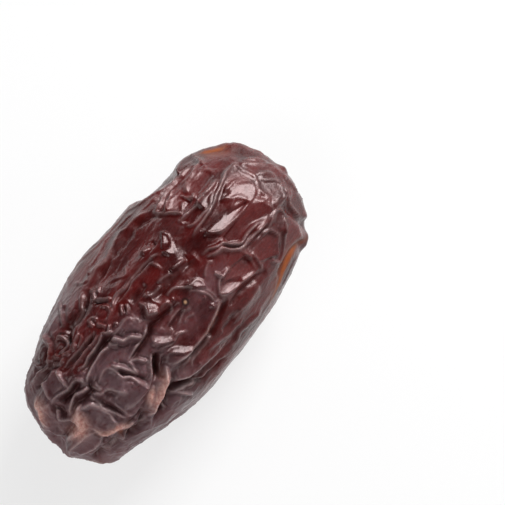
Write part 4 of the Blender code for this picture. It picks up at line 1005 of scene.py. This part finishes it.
def date_skin_material():
    """Dried date skin: a tough waxy cuticle, gone glossy and half see-through over dark sugary flesh.

    It gives the eye a deep red-brown with sharp glints on the crests, a grey bloom where the wax is thick at
    the stem end that is partly a painted sheen, pale dry lines along the crests that are partly painted
    highlights, painted shade on the furrows' floors, and a painted amber glow of light coming through where
    the skin stands off the flesh.
    """
    skin, shader = shaded_material(
        "waxy_dried_date_skin",
        {
            "IOR": 1.42,
            "Subsurface Weight": 0.07,
            "Subsurface Radius": (1.0, 0.28, 0.12),
            "Subsurface Scale": 1.2 * MM,
            "Specular Tint": linear("#f4d6d6"),
            "Coat Weight": 0.15,
            "Coat Roughness": 0.08,
            "Coat IOR": 1.4,
        },
    )
    tree = skin.node_tree

    def math_of(operation, *values, clamp=False):
        node = add_node(tree, "ShaderNodeMath", dict(enumerate(values)), operation=operation, use_clamp=clamp)
        return node.outputs[0]

    def stored(name):
        return add_node(tree, "ShaderNodeAttribute", attribute_name=name).outputs["Fac"]

    def mixed(share, base, other):
        node = add_node(tree, "ShaderNodeMix", {"Factor": share}, data_type="RGBA")
        for socket, value in (("A_Color", base), ("B_Color", other)):
            found = next(i for i in node.inputs if i.identifier == socket)
            if isinstance(value, str):
                found.default_value = linear(value)
            else:
                tree.links.new(value, found)
        return next(o for o in node.outputs if o.identifier == "Result_Color")

    def spread(value, low, high):
        return add_range(tree, value, (low, high), (0.0, 1.0), "SMOOTHSTEP")

    place = add_node(tree, "ShaderNodeTexCoord").outputs["Object"]
    in_mm = add_node(tree, "ShaderNodeMapping", {"Vector": place, "Scale": (1 / MM,) * 3}).outputs[0]
    drawn_out = add_node(tree, "ShaderNodeMapping", {"Vector": place, "Scale": (220, 520, 520)}).outputs[0]
    clouds = add_noise(tree, drawn_out, 0.6, 3.0, Roughness=0.55)[0]
    mottle = add_noise(tree, in_mm, 1.3, 3.0)[0]
    flakes = add_noise(tree, in_mm, 2.6, 4.0)[0]

    # The grey bloom of wax, partly a painted sheen, with a ragged edge.
    ragged = math_of("ADD", stored("bloom_and_sheen"), math_of("MULTIPLY", math_of("SUBTRACT", clouds, 0.5), 0.9))
    bloom_and_sheen = math_of("MULTIPLY", spread(ragged, 0.1, 0.8), spread(mottle, 0.05, 0.55))

    # Red-brown flesh first, and over it the bloom with its painted sheen, the painted shade of the furrows,
    # the pale creases and crests, the painted amber glow, the tan skin, and the speck with its ring.
    colour = mixed(spread(clouds, 0.35, 0.65), "#370909", "#541312")
    # The bloom's grey, partly a painted sheen.
    colour = mixed(math_of("MULTIPLY", bloom_and_sheen, 0.56), colour, "#6e5a5f")
    # Painted shade on the furrows' floors, darker where they are deeper.
    colour = mixed(math_of("MULTIPLY", stored("furrow_painted_shade"), 0.9), colour, "#340b08")
    colour = mixed(math_of("MULTIPLY", stored("crease"), 0.16, clamp=True), colour, "#8c6a6d")
    # Pale lines on the crest tops, partly dry skin and partly a painted highlight, paler in the bloom.
    paleness = math_of("ADD", 0.38, math_of("MULTIPLY", bloom_and_sheen, 0.55))
    colour = mixed(math_of("MULTIPLY", stored("crest_top"), paleness), colour, "#b29b9a")
    # A painted amber glow of light coming through the thin skin.
    colour = mixed(math_of("MULTIPLY", stored("amber_glow"), 0.95), colour, "#843f08")
    dry = math_of("MULTIPLY", stored("tan_skin"), spread(flakes, 0.05, 0.40))
    dry_colour = mixed(spread(flakes, 0.25, 0.75), "#b4786c", "#deb2a6")
    colour = mixed(math_of("MULTIPLY", dry, 0.85), colour, dry_colour)
    colour = mixed(stored("speck_ring"), colour, "#1d0807")
    colour = mixed(stored("speck"), colour, "#b08a68")
    tree.links.new(colour, shader.inputs["Base Color"])

    # Wrinkles finer than the mesh, 0.35 mm apart and drawn out along the date.
    grain_at = add_node(tree, "ShaderNodeMapping", {"Vector": place, "Scale": (1000, 2800, 2800)}).outputs[0]
    grain = add_noise(tree, grain_at, 1.0, 4.0)[0]
    bump = add_node(tree, "ShaderNodeBump", {"Height": grain, "Strength": 1.0, "Distance": 0.06 * MM})
    tree.links.new(bump.outputs[0], shader.inputs["Normal"])

    # The bare waxed skin is the smoothest, and each of these dulls it.
    rough = 0.08
    dulled_by = [(bloom_and_sheen, 0.10), (mottle, 0.10), (grain, 0.28), (dry, 0.25)]
    dulled_by += [(stored("amber_glow"), 0.30), (stored("furrow_painted_shade"), 0.08)]
    for share, gain in dulled_by:
        rough = math_of("ADD", rough, math_of("MULTIPLY", share, gain))
    tree.links.new(rough, shader.inputs["Roughness"])
    return skin


# The date


def set_points(shape, points):
    for vert, point in zip(shape.verts, points):
        vert.co = Vector(point)
    shape.normal_update()


def smooth_date():
    """The smooth body as a mesh object at rest height, with the fold map stored on its points."""
    shape = date_ball()
    set_points(shape, body_points(np.array([vert.co[:] for vert in shape.verts])))
    points = np.array([vert.co[:] for vert in shape.verts])
    normals = np.array([vert.normal[:] for vert in shape.verts])
    numbers = fold_map(points, normals, BVHTree.FromBMesh(shape))
    # The grey bloom of wax, partly a painted sheen.
    numbers["bloom_and_sheen"] = bloom_and_sheen_map(points)
    behind = -points[:, 0] - STEM_START
    crease_share = np.clip(CREASE_SHARE + CREASE_SHARE_PER_MM * behind, *CREASE_SHARE_LIMITS)
    numbers["crease_share"] = crease_share * (1 - PLATE_CALM * numbers["plate"])
    set_points(shape, (points + (0, 0, HALF_HEIGHT - REST_DEPTH)) * MM)
    mesh = bpy.data.meshes.new("smooth_date")
    shape.to_mesh(mesh)
    shape.free()
    for name, values in numbers.items():
        mesh.attributes.new(name, "FLOAT", "POINT").data.foreach_set("value", values.astype(np.float32))
    return add_object("smooth_date", mesh)


def dressed_date():
    """The wrinkled date as one plain mesh, standing where the solid stands."""
    skin = date_skin_material()
    date = smooth_date()
    folds = date.modifiers.new("folds", "NODES")
    folds.node_group = skin_tree()
    for item in folds.node_group.interface.items_tree:
        if item.in_out == "INPUT" and item.name in SKIN_SIZES:
            folds[item.identifier] = SKIN_SIZES[item.name]
        elif item.name == "Skin":
            folds[item.identifier] = skin
    bpy.context.view_layer.update()
    graph = bpy.context.evaluated_depsgraph_get()
    mesh = bpy.data.meshes.new_from_object(date.evaluated_get(graph))
    bpy.data.objects.remove(date)
    mesh.name = "dressed_date"

    corners = np.empty(len(mesh.vertices) * 3)
    mesh.vertices.foreach_get("co", corners)
    corners = corners.reshape(-1, 3)
    corners[:, 2] -= corners[:, 2].min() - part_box("date")[0][2]
    mesh.vertices.foreach_set("co", corners.ravel())
    mesh.update()
    mesh.shade_smooth()
    return add_object("dressed_date", mesh)


# The studio

DATE_MIDDLE = Vector((0.0, 0.0, 11.3)) * MM
CAMERA_DISTANCE = SIGHT_DISTANCE * MM
PHOTO_SIDE = 505  # pixels
PX_PER_MM = 7.4  # at the date
DATE_AT_PX = (166.1, 302.1)  # where the date's middle lies in the photograph, from its top left corner
SENSOR_WIDTH = 36.0
FLOOR_HALF_WIDTH = 1.5  # metres

# Soft lights that face the date, each (name, way from the date, metres away, metres wide and high, watts).
SOFTBOXES = (
    ("tip_side_softbox", (0.80, 0.02, 0.60), 0.75, (0.34, 0.30), 5.8),
    ("tip_side_diffuser", (0.84, 0.02, 0.54), 0.85, (0.95, 0.80), 3.6),
    ("stem_side_softbox", (-0.80, -0.10, 0.58), 0.80, (0.50, 0.50), 2.3),
    ("far_side_softbox", (0.42, 0.90, 0.12), 0.80, (0.60, 0.07), 0.75),
    ("near_side_softbox", (0.55, -0.75, 0.42), 0.85, (1.00, 0.55), 0.95),
)


def add_camera():
    """Looks at the date along SIGHT, turned aside just enough to put it left of the middle of the frame."""
    right = Vector((0, 0, 1)).cross(SIGHT).normalized()
    up = SIGHT.cross(right)
    aside = Vector((PHOTO_SIDE / 2 - DATE_AT_PX[0], DATE_AT_PX[1] - PHOTO_SIDE / 2)) / PX_PER_MM * MM
    eye = DATE_MIDDLE + SIGHT * CAMERA_DISTANCE
    back = (eye - DATE_MIDDLE - right * aside.x - up * aside.y).normalized()
    turn = SIGHT.rotation_difference(back).to_matrix()
    lens = bpy.data.cameras.new("photo_camera")
    lens.sensor_width = SENSOR_WIDTH
    lens.lens = CAMERA_DISTANCE / MM * PX_PER_MM / PHOTO_SIDE * SENSOR_WIDTH
    lens.clip_start = 0.01
    camera = add_object("photo_camera", lens)
    camera.matrix_world = Matrix.Translation(eye) @ (turn @ Matrix((right, up, SIGHT)).transposed()).to_4x4()
    bpy.context.scene.camera = camera


def add_floor():
    """A plain white light table, faintly lit from within, large enough to fill every view from above."""
    mesh = bpy.data.meshes.new("floor")
    half = FLOOR_HALF_WIDTH
    corners = [(-half, -half, 0), (half, -half, 0), (half, half, 0), (-half, half, 0)]
    mesh.from_pydata(corners, [], [(0, 1, 2, 3)])
    looks = {
        "Base Color": linear("#7a7a7a"),
        "Roughness": 0.7,
        "Emission Color": linear("#ffffff"),
        "Emission Strength": 0.725,
    }
    mesh.materials.append(shaded_material("matt_white_acrylic", looks)[0])
    floor = add_object("floor", mesh)


def add_softbox(name, towards, distance, size, power):
    """A rectangular soft light in a direction from the date, facing it."""
    lamp = bpy.data.lights.new(name, "AREA")
    lamp.shape = "RECTANGLE"
    lamp.size, lamp.size_y = size
    lamp.energy = power
    light = add_object(name, lamp)
    way = Vector(towards).normalized()
    light.location = DATE_MIDDLE + way * distance
    light.rotation_euler = way.to_track_quat("Z", "Y").to_euler()


def add_room():
    """Pale grey walls all round, and a dim ceiling."""
    room = bpy.data.worlds.new("grey_room")
    room.use_nodes = True
    tree = room.node_tree
    way = add_node(tree, "ShaderNodeTexCoord").outputs["Generated"]
    height = add_node(tree, "ShaderNodeSeparateXYZ", {0: way}).outputs["Z"]
    walls = add_range(tree, height, (0.0, 0.3), (0.17, 0.25), "SMOOTHSTEP")
    ceiling = add_range(tree, height, (0.55, 0.85), (1.0, 0.12), "SMOOTHSTEP")
    strength = add_node(tree, "ShaderNodeMath", {0: walls, 1: ceiling}, operation="MULTIPLY").outputs[0]
    tree.links.new(strength, tree.nodes["Background"].inputs["Strength"])
    tree.nodes["Background"].inputs["Color"].default_value = linear("#ffffff")
    bpy.context.scene.world = room


def main():
    noise.seed_set(SEED)  # without this the noise starts from the clock
    date = dressed_date()
    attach(date, "root")
    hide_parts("date")

    add_camera()
    add_floor()
    add_room()
    for softbox in SOFTBOXES:
        add_softbox(*softbox)
    bpy.context.scene.view_settings.view_transform = "Standard"


main()
